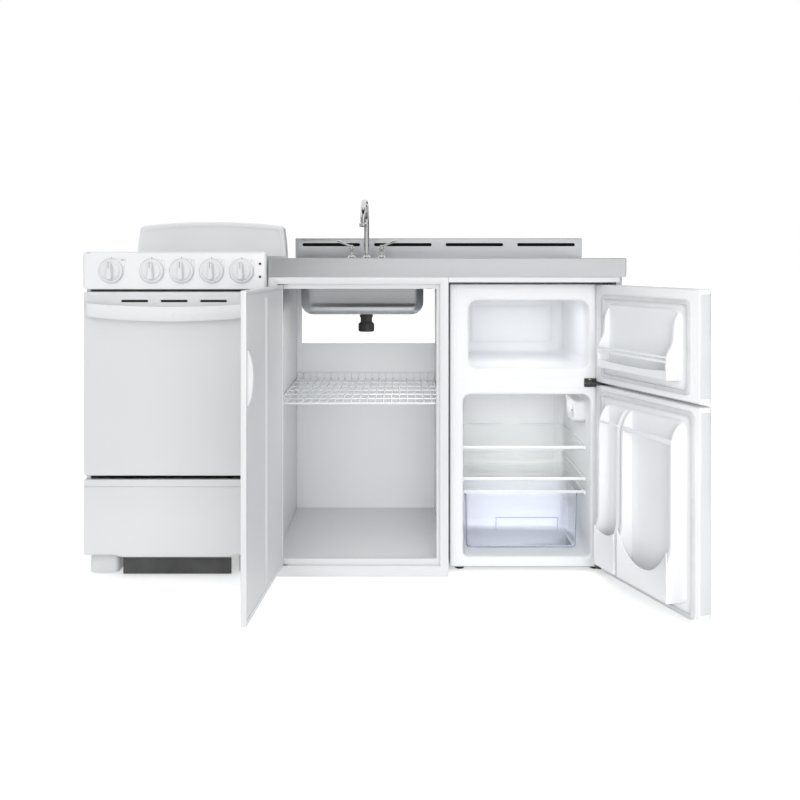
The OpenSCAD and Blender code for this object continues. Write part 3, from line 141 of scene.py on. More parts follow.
def make_studio():
    """A white world, a pale floor that shows nearly white, and the lamps."""
    scene = bpy.context.scene
    scene.view_settings.view_transform = "Standard"
    scene.world = bpy.data.worlds.new("studio_world")
    node = emptied(scene.world)
    light = node("ShaderNodeBackground", {"Color": (0.97, 0.985, 1.0, 1), "Strength": 0.41})
    white = node("ShaderNodeBackground", {"Color": (1, 1, 1, 1), "Strength": 1.0})
    mix = node("ShaderNodeMixShader", {"Fac": seen_ray(node), 1: light.outputs[0], 2: white.outputs[0]})
    node("ShaderNodeOutputWorld", {"Surface": mix.outputs[0]})

    bm = bmesh.new()
    bmesh.ops.create_grid(bm, x_segments=2, y_segments=2, size=90.0)
    floor = added("studio_floor", from_bmesh("studio_floor", bm))
    floor.location = (0, 0, -0.0008)
    pale = bpy.data.materials.new("studio_floor")
    node = emptied(pale)
    matt = node("ShaderNodeBsdfDiffuse", {"Color": (0.86, 0.865, 0.87, 1)})
    level = node("ShaderNodeMath", {0: seen_ray(node), 1: 0.5}, operation="MULTIPLY")
    glow = node("ShaderNodeEmission", {"Color": (1, 1, 1, 1), "Strength": level.outputs[0]})
    both = node("ShaderNodeAddShader", {0: matt.outputs[0], 1: glow.outputs[0]})
    node("ShaderNodeOutputMaterial", {"Surface": both.outputs[0]})
    floor.data.materials.append(pale)

    wide_sun("sun_top", (0.10, 0.42, -1.0), 0.7, 70.0)
    wide_sun("sun_front", (0.10, 1.0, -0.26), 0.95, 36.0)
    wide_sun("sun_rear", (-0.25, -1.0, -0.45), 0.4, 60.0)
    soft_lamp("lamp_front", (0.50, -2.5, 0.62), (0.3, 0.0, 0.5), (1.2, 1.2), 13)
    # small lamps in the open compartments
    soft_lamp("lamp_fridge", (0.50, -0.12, 0.505), (0.50, -0.06, 0.0), (0.24, 0.16), 0.37)
    soft_lamp("lamp_freezer", (0.50, -0.12, 0.785), (0.50, 0.0, 0.0), (0.24, 0.16), 0.38)
    soft_lamp("lamp_cabinet", (0.16, -0.22, 0.70), (-0.16, 0.16, 0.36), (0.10, 0.10), 0.6)


def make_cards():
    """Dark studio cards that only glosses see, so that chrome and steel have something to mirror."""
    # upright bands as (start, end) in degrees round from the front with their top, then a high and a low ring
    bands = [(start, end, 5.2, 0.4, top) for start, end, top in
             ((-50, -16, 4.6), (46, 66, 4.6), (74, 126, 2.2), (140, 176, 2.2), (184, 220, 2.2),
              (234, 288, 2.2))]
    bands += [(-90, 90, 3.2, 3.3, 6.4), (-90, 90, 2.3, 0.02, 0.5)]
    steps = 6
    bm = bmesh.new()
    for start, end, radius, low, high in bands:
        for k in range(steps):
            angles = [radians(start + (end - start) * (k + j) / steps - 90) for j in (0, 1)]
            corners = [(radius * cos(a), radius * sin(a), z) for z in (low, high) for a in angles]
            bm.faces.new([bm.verts.new(corners[i]) for i in (0, 1, 3, 2)])
    floor_card = ((-1.5, -2.3), (1.5, -2.3), (1.5, -1.0), (-1.5, -1.0))
    bm.faces.new([bm.verts.new((x, y, 0.012)) for x, y in floor_card])
    cards = added("studio_cards", from_bmesh("studio_cards", bm))
    dark = bpy.data.materials.new("studio_cards")
    dark.use_nodes = True
    shader = dark.node_tree.nodes["Principled BSDF"].inputs
    shader["Base Color"].default_value = (0.012, 0.012, 0.013, 1)
    shader["Roughness"].default_value = 0.9
    cards.data.materials.append(dark)
    cards.visible_camera = cards.visible_diffuse = cards.visible_shadow = cards.visible_transmission = False


make_studio()
make_cards()


# Materials: each reads Object coordinates, which are the row frame in metres

class Finish:
    """A material with one Principled shader and short words for the nodes around it."""

    def __init__(self, name, colour, roughness, **sockets):
        self.material = bpy.data.materials.new(name)
        self.material.use_nodes = True
        self.nodes, self.links = self.material.node_tree.nodes, self.material.node_tree.links
        self.node = wired(self.material.node_tree)
        self.shader = self.nodes["Principled BSDF"]
        self.shader.inputs["Base Color"].default_value = (*colour, 1)
        self.shader.inputs["Roughness"].default_value = roughness
        for socket, value in sockets.items():
            self.shader.inputs[socket.replace("_", " ")].default_value = value
        self.place = self.node("ShaderNodeTexCoord").outputs["Object"]

    def noise(self, scale, detail=2.0, rough=0.5, stretch=None):
        place = self.place
        if stretch:
            place = self.node("ShaderNodeMapping", {"Vector": place, "Scale": stretch}).outputs["Vector"]
        return self.node("ShaderNodeTexNoise", {"Vector": place, "Scale": scale, "Detail": detail,
                                                "Roughness": rough}).outputs["Fac"]

    def cells(self, scale, output="Color"):
        return self.node("ShaderNodeTexVoronoi", {"Vector": self.place, "Scale": scale}).outputs[output]

    def colour(self, value, stops):
        """Colours by (value, colour) stops."""
        ramp = self.node("ShaderNodeValToRGB", {"Fac": value})
        marks = ramp.color_ramp.elements
        while len(marks) < len(stops):
            marks.new(0.5)
        for mark, (position, colour) in zip(marks, stops):
            mark.position = position
            mark.color = (*colour, 1)
        self.links.new(ramp.outputs["Color"], self.shader.inputs["Base Color"])

    def roughness(self, value, low, high, start=0.3, end=0.7):
        """Roughness from low to high while the value goes from start to end."""
        span = self.node("ShaderNodeMapRange", {"Value": value, "From Min": start, "From Max": end,
                                                "To Min": low, "To Max": high})
        self.links.new(span.outputs["Result"], self.shader.inputs["Roughness"])

    def bump(self, height, depth):
        """Bumps of that depth in metres."""
        bump = self.node("ShaderNodeBump", {"Height": height, "Distance": depth, "Strength": 1.0})
        self.links.new(bump.outputs["Normal"], self.shader.inputs["Normal"])


def tone(level, tint=(1, 1, 1)):
    return tuple(level * part for part in tint)


def two_tones(level, low, high, tint=(1, 1, 1), ends=(0.3, 0.7)):
    """Colour stops at low and high shares of a level."""
    return [(ends[0], tone(level * low, tint)), (ends[1], tone(level * high, tint))]


COOL = (0.975, 0.985, 1.0)
STEEL_TINT = (0.975, 0.995, 1.02)


def paint(name, level, tint=COOL, roughness=0.3, peel=0.00005, coat=0.25):
    """Baked enamel paint: a faint orange peel, a slow drift of tone and uneven gloss."""
    finish = Finish(name, tone(level, tint), roughness, Coat_Weight=coat, Coat_Roughness=0.12)
    finish.colour(finish.noise(2.6, 3.0), two_tones(level, 0.985, 1.0, tint))
    finish.roughness(finish.noise(9.0, 3.0), roughness - 0.02, roughness + 0.03)
    finish.bump(finish.noise(420.0, 2.0), peel)
    return finish.material


def plastic(name, level, tint=COOL, roughness=0.36, grain=0.00003, sheen=0.05):
    """Moulded plastic: a fine grain, slightly uneven gloss and a little light under the skin."""
    finish = Finish(name, tone(level, tint), roughness, Subsurface_Weight=sheen,
                    Subsurface_Scale=0.01, Specular_IOR_Level=0.45)
    finish.shader.inputs["Subsurface Radius"].default_value = (1.0, 0.95, 0.9)
    finish.colour(finish.noise(5.0, 3.0), two_tones(level, 0.98, 1.0, tint))
    finish.roughness(finish.noise(14.0, 3.0), roughness - 0.03, roughness + 0.03)
    finish.bump(finish.noise(900.0, 3.0), grain)
    return finish.material


def brushed(name, level, along, roughness=0.3, streak=0.00001, tint=(1.0, 1.0, 1.0)):
    """Brushed stainless steel, with its hairlines running along the given axis."""
    finish = Finish(name, tone(level, tint), roughness, Metallic=1.0, Anisotropic=0.35)
    hairs = finish.noise(1.0, 3.0, 0.6, stretch=tuple(9.0 if axis == along else 2600.0 for axis in "xyz"))
    bands = finish.noise(1.0, 2.0, 0.5, stretch=tuple(0.8 if axis == along else 60.0 for axis in "xyz"))
    finish.colour(bands, two_tones(level, 0.98, 1.02, tint))
    finish.roughness(hairs, roughness - 0.05, roughness + 0.08)
    finish.bump(hairs, streak)
    return finish.material


def bright_metal(name, level, roughness=0.08):
    """Chrome or polished wire: nearly smooth, with faint smears and a very slow ripple."""
    finish = Finish(name, tone(level), roughness, Metallic=1.0)
    finish.roughness(finish.noise(55.0, 4.0), roughness * 0.6, roughness * 1.7)
    finish.colour(finish.noise(16.0, 2.0), two_tones(level, 0.95, 1.0, ends=(0.35, 0.65)))
    finish.bump(finish.noise(120.0, 1.0), 0.000004)
    return finish.material


def zinc():
    """Zinc-plated steel with the pale patchwork of its crystals."""
    finish = Finish("zinc_plate", tone(0.6), 0.38, Metallic=1.0)
    patches = finish.cells(140.0)
    finish.colour(patches, [(0.1, tone(0.48)), (0.9, tone(0.66, (0.98, 1.0, 1.02)))])
    finish.roughness(patches, 0.28, 0.5, 0.0, 1.0)
    finish.bump(finish.noise(700.0, 2.0), 0.00002)
    return finish.material


def enamel_speckled():
    """Dark porcelain enamel with white flecks."""
    finish = Finish("oven_enamel", (0.035, 0.038, 0.045), 0.22, Coat_Weight=0.4, Coat_Roughness=0.08)
    flecks = finish.cells(520.0, "Distance")
    finish.colour(flecks, [(0.0, (0.42, 0.43, 0.45)), (0.16, (0.04, 0.043, 0.05)),
                           (1.0, (0.03, 0.033, 0.04))])
    finish.roughness(finish.noise(50.0, 3.0), 0.16, 0.3)
    finish.bump(finish.noise(160.0, 2.0), 0.00006)
    return finish.material


def heater_metal():
    """The dark nickel sheath of a heating element, with a heat tint."""
    finish = Finish("heater_sheath", (0.045, 0.045, 0.05), 0.5, Metallic=0.55)
    heat = finish.noise(30.0, 3.0)
    finish.colour(heat, [(0.3, (0.03, 0.031, 0.036)), (0.55, (0.055, 0.052, 0.055)),
                         (0.8, (0.085, 0.07, 0.062))])
    finish.roughness(heat, 0.42, 0.62)
    finish.bump(finish.noise(1200.0, 2.0), 0.00004)
    return finish.material


def wool():
    """Yellow mineral wool behind the oven liner."""
    finish = Finish("mineral_wool", (0.62, 0.5, 0.24), 0.95)
    fibres = finish.noise(90.0, 8.0, 0.7, stretch=(1.0, 0.35, 1.0))
    finish.colour(fibres, [(0.3, (0.4, 0.3, 0.12)), (0.7, (0.72, 0.6, 0.32))])
    finish.bump(fibres, 0.003)
    return finish.material


def foam():
    """Pale blown foam between the refrigerator's walls."""
    finish = Finish("insulating_foam", (0.74, 0.66, 0.42), 0.9)
    pores = finish.cells(700.0, "Distance")
    finish.colour(pores, [(0.0, (0.55, 0.46, 0.26)), (0.5, (0.78, 0.7, 0.46))])
    finish.bump(pores, 0.0004)
    return finish.material


def rubber(name, level):
    finish = Finish(name, tone(level, COOL), 0.6, Specular_IOR_Level=0.35)
    dust = finish.noise(24.0, 5.0)
    finish.colour(dust, two_tones(level, 0.94, 1.03, COOL))
    finish.roughness(dust, 0.5, 0.72)
    finish.bump(finish.noise(1100.0, 2.0), 0.00003)
    return finish.material


def clear(name, tint, roughness, ior):
    """Clear glass or plastic that casts a light shadow, with faint haze marks."""
    finish = Finish(name, tint, roughness, IOR=ior, Transmission_Weight=1.0)
    haze = finish.noise(45.0, 4.0)
    finish.roughness(haze, roughness, roughness + 0.05, 0.45, 0.8)
    finish.colour(haze, [(0.3, tint), (0.8, tone(0.985, tint))])
    see_through = finish.node("ShaderNodeBsdfTransparent", {"Color": (*tone(0.96, tint), 1)})
    path = finish.node("ShaderNodeLightPath")
    mix = finish.node("ShaderNodeMixShader", {"Fac": path.outputs["Is Shadow Ray"],
                                              1: finish.shader.outputs[0],
                                              2: see_through.outputs[0]})
    finish.links.new(mix.outputs[0], finish.nodes["Material Output"].inputs["Surface"])
    return finish.material


def black_paint(name, level, roughness, grain=0.00006):
    finish = Finish(name, tone(level), roughness)
    finish.colour(finish.noise(12.0, 4.0), two_tones(level, 0.75, 1.4))
    finish.roughness(finish.noise(70.0, 3.0), roughness - 0.07, roughness + 0.1)
    finish.bump(finish.noise(520.0, 2.0), grain)
    return finish.material


def lens_red():
    """Dark red lens of an indicator lamp that is off."""
    finish = Finish("lamp_lens", (0.13, 0.006, 0.008), 0.2, Coat_Weight=0.5, Coat_Roughness=0.05)
    ribs = finish.noise(2200.0, 1.0)
    finish.colour(ribs, [(0.3, (0.09, 0.004, 0.006)), (0.7, (0.19, 0.012, 0.014))])
    finish.bump(ribs, 0.00004)
    return finish.material


PAINT = paint("painted_white", 0.77)
# a lighter copy of the white paint for the control panel and backguard, standing in for more light on them:
# painted light
PAINT_LIT_COPY = paint("painted_white_lit_copy", 0.89)
PAINT_INNER = paint("painted_inner", 0.80, roughness=0.42, coat=0.0)
PAINT_GREY = paint("painted_grey", 0.58, roughness=0.45, coat=0.0, peel=0.00008)
KNOB = plastic("knob_plastic", 0.82, roughness=0.3)
LINER = plastic("liner_plastic", 0.92, roughness=0.34)
GASKET = rubber("door_gasket", 0.74)
GASKET_GREY = rubber("oven_gasket", 0.18)
STEEL_X = brushed("steel_lengthwise", 0.74, "x", roughness=0.34, tint=STEEL_TINT)
STEEL_BOWL = brushed("steel_bowl", 0.55, "x", roughness=0.3, tint=STEEL_TINT)
CHROME = bright_metal("chrome", 0.72)
RACK = bright_metal("rack_wire", 0.66, 0.16)
ZINC = zinc()
ENAMEL = enamel_speckled()
HEATER = heater_metal()
WOOL = wool()
FOAM = foam()
GLASS = clear("shelf_glass", (0.99, 0.998, 0.994), 0.0, 1.5)
CRISPER = clear("crisper_plastic", (0.945, 0.955, 0.985), 0.02, 1.3)
BLACK = black_paint("black_plastic", 0.014, 0.4)
# flat black for the sheets behind the backsplash's vent slots: painted shade
VENT_SHADE_BLACK = black_paint("backsplash_shade_black", 0.008, 0.85)
VENT_SHADE_BLACK.node_tree.nodes["Principled BSDF"].inputs["Specular IOR Level"].default_value = 0.1
MACHINE = black_paint("black_machine", 0.02, 0.5)
HINGE_DARK = black_paint("hinge_metal", 0.055, 0.35)
WIRE = paint("coated_wire", 0.84, roughness=0.26, peel=0.00003, coat=0.4)
# opaque blue for the crisper's edges: the plastic's own blue tint, deepened to stand in for the dark edge
# lines that light through the clear plastic gives, as painted light
EDGE_BLUE = plastic("crisper_edge", 0.5, tint=(0.72, 0.84, 1.35), roughness=0.2)
RED = lens_red()
MARKS = black_paint("dial_marks", 0.3, 0.5, 0.00001)
PRINT_GREY = black_paint("printed_grey", 0.42, 0.5, 0.00001)
PRINT_DARK = black_paint("printed_dark", 0.1, 0.5, 0.00001)

KNOB_NAMES = ["oven_knob"] + ["hob_knob_%d" % number for number in (1, 2, 3, 4)]
CAD_FINISH = {
    PAINT: ["range_casing", "oven_door_skin", "storage_drawer", "range_legs", "cooktop", "backguard",
            "control_panel", "face_frame", "sink_door_skin", "fridge_shell", "freezer_door_skin",
            "fridge_door_skin", "oven_door_handle"],
    PAINT_INNER: ["cabinet_panels", "cabinet_back", "cabinet_floor", "sink_door_liner"],
    ENAMEL: ["oven_liner", "oven_door_liner"],
    WOOL: ["oven_insulation"],
    HEATER: ["oven_elements", "coil_elements"],
    RACK: ["oven_rack", "drip_bowls"],
    GASKET_GREY: ["oven_door_gasket"],
    KNOB: KNOB_NAMES + ["thermostat_knob", "thermostat_housing"],
    ZINC: ["hob_stem_%d" % number for number in (1, 2, 3, 4)] + ["range_rear_cover", "cabinet_fittings"],
    BLACK: ["control_switches", "drain_body", "drain_nut"],
    RED: ["indicator_lamps"],
    STEEL_X: ["countertop"],
    STEEL_BOWL: ["sink_bowl", "strainer_basket"],
    CHROME: ["faucet_body", "faucet_spout", "hot_lever", "cold_lever"],
    WIRE: ["wire_shelf"],
    LINER: ["fridge_liner", "freezer_door_liner", "fridge_door_liner"],
    FOAM: ["fridge_foam"],
    HINGE_DARK: ["fridge_hinges"],
    GLASS: ["upper_shelf", "lower_shelf", "crisper_cover"],
    CRISPER: ["crisper"],
    MACHINE: ["cooling_unit"],
}
for finish_material, node_names in CAD_FINISH.items():
    for node_name in node_names:
        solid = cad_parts[node_name]
        solid.data.materials.clear()
        solid.data.materials.append(finish_material)


# Shapes: measures are millimetres, as in the drawing, until a piece is made

class Shape:
    """Points and faces gathered for one piece."""

    def __init__(self):
        self.points = []
        self.faces = []

    def loft(self, rings, caps=(True, True), loop=False, open_rings=False):
        """Skins a row of equal rings. loop joins the last ring to the first, as round a frame."""
        start, count = len(self.points), len(rings[0])
        for ring in rings:
            self.points.extend(tuple(point) for point in ring)
        for row in range(len(rings) if loop else len(rings) - 1):
            below = start + row * count
            above = start + (row + 1) % len(rings) * count
            for i in range(count - 1 if open_rings else count):
                j = (i + 1) % count
                self.faces.append((below + i, below + j, above + j, above + i))
        if not loop and caps[0]:
            self.faces.append(tuple(range(start + count - 1, start - 1, -1)))
        if not loop and caps[1]:
            last = start + (len(rings) - 1) * count
            self.faces.append(tuple(range(last, last + count)))
        return self

    def block(self, low, high):
        corners = [(x, y, z) for z in (low[2], high[2])
                   for x, y in ((low[0], low[1]), (high[0], low[1]), (high[0], high[1]), (low[0], high[1]))]
        return self.loft([corners[:4], corners[4:]])

    def plate(self, plane, outline, profile, loop=False):
        """Stacks an outline: outline(inset) gives its points, profile lists (inset, depth) pairs."""
        return self.loft([laid(plane, outline(inset), depth) for inset, depth in profile], loop=loop)

    def tube(self, path, radius, sides=16, caps=(True, True)):
        """A round rod along a path; radius is one number, or one for each point."""
        path = [Vector(point) for point in path]
        radii = radius if isinstance(radius, (list, tuple)) else [radius] * len(path)
        ways = []
        for i in range(len(path)):
            way = path[min(i + 1, len(path) - 1)] - path[max(i - 1, 0)]
            ways.append(way.normalized())
        side = ways[0].orthogonal().normalized()
        rings = []
        for point, way, reach in zip(path, ways, radii):
            side = (side - way * side.dot(way)).normalized()
            up = way.cross(side)
            rings.append([point + reach * (cos(a) * side + sin(a) * up) for a in turns(sides)])
        return self.loft(rings, caps)

    def spin(self, profile, centre, axis="z", sides=48, caps=(True, True)):
        """Turns (radius, height) pairs round an axis through the centre."""
        rings = []
        for reach, height in profile:
            ring = [(reach * cos(a), reach * sin(a), height) for a in turns(sides)]
            rings.append([Vector(turned(axis, point)) + Vector(centre) for point in ring])
        return self.loft(rings, caps)

    def moved(self, matrix):
        self.points = [tuple(matrix @ Vector(point)) for point in self.points]
        return self

    def join(self, other):
        start = len(self.points)
        self.points.extend(other.points)
        self.faces.extend(tuple(start + i for i in face) for face in other.faces)
        return self


def turns(sides):
    return [2 * pi * i / sides for i in range(sides)]


def turned(axis, point):
    """A point whose third number is its height along the axis, in row order."""
    a, b, height = point
    return {"x": (height, a, b), "y": (a, height, b), "z": (a, b, height)}[axis]


def laid(plane, outline, depth):
    """An outline (u, v) in the given plane, at that depth across it."""
    if plane == "xz":
        return [(u, depth, v) for u, v in outline]
    if plane == "yz":
        return [(depth, u, v) for u, v in outline]
    return [(u, v, depth) for u, v in outline]


def rounded(u0, u1, v0, v1, radius, steps=6):
    """outline(inset) of a rectangle with rounded corners: one radius, or four from the low corner round."""
    radii = radius if isinstance(radius, (list, tuple)) else [radius] * 4

    def outline(inset=0.0):
        points = []
        corners = [(u0, v0, 1, 1, 180), (u1, v0, -1, 1, 270), (u1, v1, -1, -1, 0), (u0, v1, 1, -1, 90)]
        for (u, v, su, sv, start), corner in zip(corners, radii):
            r = max(corner - inset, 0.02)
            for k in range(steps + 1):
                a = radians(start + 90 * k / steps)
                points.append((u + su * (inset + r) + r * cos(a), v + sv * (inset + r) + r * sin(a)))
        return points
    return outline


def soft_edge(face, side, radius, steps=4):
    """(inset, depth) pairs from a flat face at depth face, round an edge, towards the depth side."""
    way = 1 if side > face else -1
    return [(radius * (1 - sin(a)), face + way * radius * (1 - cos(a))) for a in quarter(steps, 0)]


def slab_profile(front, back, edge):
    """A plate's profile with a soft front edge and a small back edge."""
    return soft_edge(front, back, edge) + soft_edge(back, front, 0.4, 2)[::-1]


def both_ends(low, high, radius, steps):
    """A profile with the same soft edge at both its ends."""
    return soft_edge(low, high, radius, steps) + soft_edge(high, low, radius, steps)[::-1]


def eased(low, high, edge):
    """A thin sheet's profile with both its edges eased."""
    return [(edge, low), (0, low + edge), (0, high - edge), (edge, high)]


def along(base, pairs, way=1):
    """(reach, place) pairs with every place measured on from the base, or back from it."""
    return [(reach, base + way * place) for reach, place in pairs]


def quarter(steps, first=1):
    """The angles of a quarter turn, from the given step on."""
    return [pi / 2 * k / steps for k in range(first, steps + 1)]


def bend_path(points, radius, steps=8):
    """A path through the points with its corners rounded to a bend radius."""
    points = [Vector(point) for point in points]
    path = [points[0]]
    for before, corner, after in zip(points, points[1:], points[2:]):
        back, ahead = (before - corner).normalized(), (after - corner).normalized()
        half = back.angle(ahead) / 2
        run = radius / tan(half)
        middle = corner + (back + ahead).normalized() * (radius / sin(half))
        start, end = corner + back * run - middle, corner + ahead * run - middle
        whole = start.angle(end)
        for k in range(steps + 1):
            t = k / steps
            path.append(middle + (start * sin((1 - t) * whole) + end * sin(t * whole)) / sin(whole))
    path.append(points[-1])
    return path


def to_mesh(name, shape, material, smooth=38.0):
    bm = bmesh.new()
    points = [bm.verts.new(Vector(point) * MM) for point in shape.points]
    for face in shape.faces:
        bm.faces.new([points[i] for i in face])
    bmesh.ops.remove_doubles(bm, verts=bm.verts, dist=1e-6)
    bmesh.ops.dissolve_degenerate(bm, edges=bm.edges, dist=1e-6)
    bmesh.ops.recalc_face_normals(bm, faces=bm.faces)
    piece = added(name, from_bmesh(name, bm))
    shade(piece.data, smooth)
    piece.data.materials.append(material)
    return piece


def shade(mesh, smooth):
    mesh.polygons.foreach_set("use_smooth", [True] * len(mesh.polygons))
    mesh.set_sharp_from_angle(angle=radians(smooth))


def settled(piece):
    """The piece with its modifiers made into its mesh."""
    bpy.context.view_layer.update()
    mesh = bpy.data.meshes.new_from_object(piece.evaluated_get(bpy.context.evaluated_depsgraph_get()))
    piece.modifiers.clear()
    old = piece.data
    piece.data = mesh
    bpy.data.meshes.remove(old)
    mesh.name = piece.name
    return piece


def bevelled(piece, width, segments=3):
    bevel = piece.modifiers.new("soft_edges", "BEVEL")
    bevel.width = width * MM
    bevel.segments = segments
    bevel.limit_method = "ANGLE"
    bevel.angle_limit = radians(30.0)
    bevel.use_clamp_overlap = True
    shade(settled(piece).data, 40.0)


def cut(piece, *cutters):
    """Takes the cutters' shapes out of the piece."""
    for cutter in cutters:
        tool = to_mesh("cutter", cutter, piece.data.materials[0])
        hole = piece.modifiers.new("hole", "BOOLEAN")
        hole.operation = "DIFFERENCE"
        hole.solver = "EXACT"
        hole.object = tool
        settled(piece)
        bpy.data.objects.remove(tool)
    shade(piece.data, 38.0)


def put(piece, body, nodes):
    """Fixes a finished piece to its CAD body, in place of the nodes it stands for."""
    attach(piece, body)
    if nodes:
        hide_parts(*nodes)


def make(name, shape, material, body, nodes=(), smooth=38.0, bevel=None, cuts=()):
    """A piece on its CAD body, with its cuts and soft edges, in its material."""
    piece = to_mesh(name, shape, material, smooth)
    if cuts:
        cut(piece, *cuts)
    if bevel:
        bevelled(piece, bevel)
    put(piece, body, nodes)


def low_high(node):
    """The CAD node's box in millimetres."""
    low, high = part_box(node)
    return [value / MM for value in low], [value / MM for value in high]


def turned_at(place, degrees, axis="Z"):
    """Turns a shape made at the origin about an axis, and moves it to its place."""
    return Matrix.Translation(place) @ Matrix.Rotation(radians(degrees), 4, axis)


def about(pivot, degrees):
    """Turns points round an upright axis through (x, y) in millimetres."""
    return turned_at((pivot[0], pivot[1], 0), degrees) @ Matrix.Translation((-pivot[0], -pivot[1], 0))


# The range

RANGE_X, RANGE_END = -776.0, -254.0
RANGE_FRONT = -330.0
RANGE_MID = (RANGE_X + RANGE_END) / 2
KNOB_XS = [sum(side[0] for side in low_high(node)) / 2 for node in KNOB_NAMES]
KNOB_Z = 877.0
LAMP_PLACES = [(RANGE_END - 17, 0, KNOB_Z + 2 + side) for side in (-18.5, 18.5)]


def make_control_panel():
    """A box with a rolled top and soft ends, bored for the stems and the lamps."""
    low, high = low_high("control_panel")
    section = rounded(low[1], high[1], low[2], high[2], [3, 1, 1, 10])
    panel = Shape().plate("yz", section, both_ends(low[0], high[0], 11, 6))
    hollow = Shape().block((low[0] + 12, low[1] + 2, low[2] + 2), (high[0] - 12, high[1] + 5, high[2] - 3))
    bores = Shape()
    for radius, places in ((4.6, [(x, 0, KNOB_Z) for x in KNOB_XS]), (4.1, LAMP_PLACES)):
        for place in places:
            bores.spin([(radius, low[1] - 3), (radius, low[1] + 6)], place, "y", 24)
    make("control_panel_shell", panel, PAINT_LIT_COPY, "unit", ["control_panel"], cuts=[hollow, bores])


def dial_outline(radius, corner):
    """The printed line round a dial: most of a circle, which runs out to a corner at the upper right."""
    spread = acos(radius / corner.length)
    aim = atan2(corner.y, corner.x)
    start, end = aim + spread, aim - spread + 2 * pi
    steps = 44
    angles = [start + (end - start) * k / steps for k in range(steps + 1)]
    return [corner] + [Vector((cos(a), sin(a))) * radius for a in angles] + [corner]


def make_dial_marks():
    """Thin printed outlines and index marks on the panel, as a skin 0.15 mm proud of the paint."""
    front, back = RANGE_FRONT - 0.15, RANGE_FRONT + 0.1
    outlines, ticks = Shape(), Shape()
    for i, x in enumerate(KNOB_XS):
        line = dial_outline(35.4, Vector((41, 33)) if i == 0 else Vector((35, 31)))
        for a, b in zip(line, line[1:]):
            across = Vector((a.y - b.y, b.x - a.x)).normalized() * 0.28
            quad = [a + across, b + across, b - across, a - across]
            outlines.loft([[(x + p.x, y, KNOB_Z + p.y) for p in quad] for y in (front, back)])
        ticks.block((x - 0.9, front, KNOB_Z + 36.6), (x + 0.9, back, KNOB_Z + 39.4))
        # the oven's dial has a bar for its second mark, the others a dot
        if i == 0:
            ticks.block((x + 28, front, KNOB_Z + 30.4), (x + 37.5, back, KNOB_Z + 32.0))
        else:
            ticks.spin([(1.1, front), (1.1, back)], (x + 28, 0, KNOB_Z + 28), "y", 16)
    make("dial_outlines", outlines, PRINT_GREY, "unit", smooth=10)
    make("dial_marks", ticks, PRINT_DARK, "unit", smooth=10)


def grip_half(t):
    """Half the width of a knob's grip, at a share t of its height, round at its foot and its head."""
    width = 7.4 + 1.5 * cos(pi * min(max(t, 0.12), 0.9))
    if t <= 0.12:
        return width * sqrt(1 - (1 - t / 0.12) ** 2)
    return width * sqrt(1 - max(0.0, (t - 0.9) / 0.1) ** 2)


def knob_shape(x, face):
    """A domed skirt with a raised ring and an upright grip, wider and rounder towards the bottom."""
    skirt = [(33.4, 0), (34.0, 0.8), (33.9, 2.6), (32.6, 4.6), (29.4, 5.6), (27.6, 5.4), (26.6, 6.2),
             (25.6, 8.6),
             (24.4, 9.7), (22.0, 10.0), (0.0, 8.6)]
    knob = Shape().spin(along(face, skirt, -1), (x, 0, KNOB_Z), "y", 72)
    steps, reach = 14, 25.2
    rings = []
    for inset, depth in [(0.0, 7.0), (0.0, 20.0), (0.6, 23.6), (2.0, 25.4), (4.2, 26.0)]:
        ring = []
        for side in (1, -1):
            for k in range(steps + 1):
                t = k / steps if side == 1 else 1 - k / steps
                height = (-reach + 2 * reach * t) * max(0.05, 1 - inset / reach)
                ring.append((x + side * max(grip_half(t) - inset, 0.02), face - depth, KNOB_Z + height))
        rings.append(ring)
    return knob.loft(rings)


def make_knobs():
    face = -333.1
    for name, x in zip(KNOB_NAMES, KNOB_XS):
        make(name + "_cap", knob_shape(x, face), KNOB, name, [name], smooth=50)
        pointer = Shape().block((x - 0.8, face - 26.4, KNOB_Z + 8), (x + 0.8, face - 9, KNOB_Z + 24.6))
        make(name + "_pointer", pointer, MARKS, name, bevel=0.3)


def make_lamps():
    """Domed red lenses in thin rings."""
    lens, rings = Shape(), Shape()
    dome = [(3.4, 8), (3.4, -0.6), (3.0, -1.5), (2.0, -2.1), (0.8, -2.4), (0.0, -2.4)]
    rim = [(3.5, 1.0), (3.5, -0.9), (4.2, -1.0), (4.9, -0.5), (5.0, 0.05), (4.0, 1.0)]
    for place in LAMP_PLACES:
        lens.spin(along(RANGE_FRONT, dome), place, "y", 32)
        rings.spin(along(RANGE_FRONT, rim), place, "y", 32)
    make("lamp_lenses", lens, RED, "unit", ["indicator_lamps"], smooth=60)
    make("lamp_rings", rings, PAINT, "unit", smooth=60)


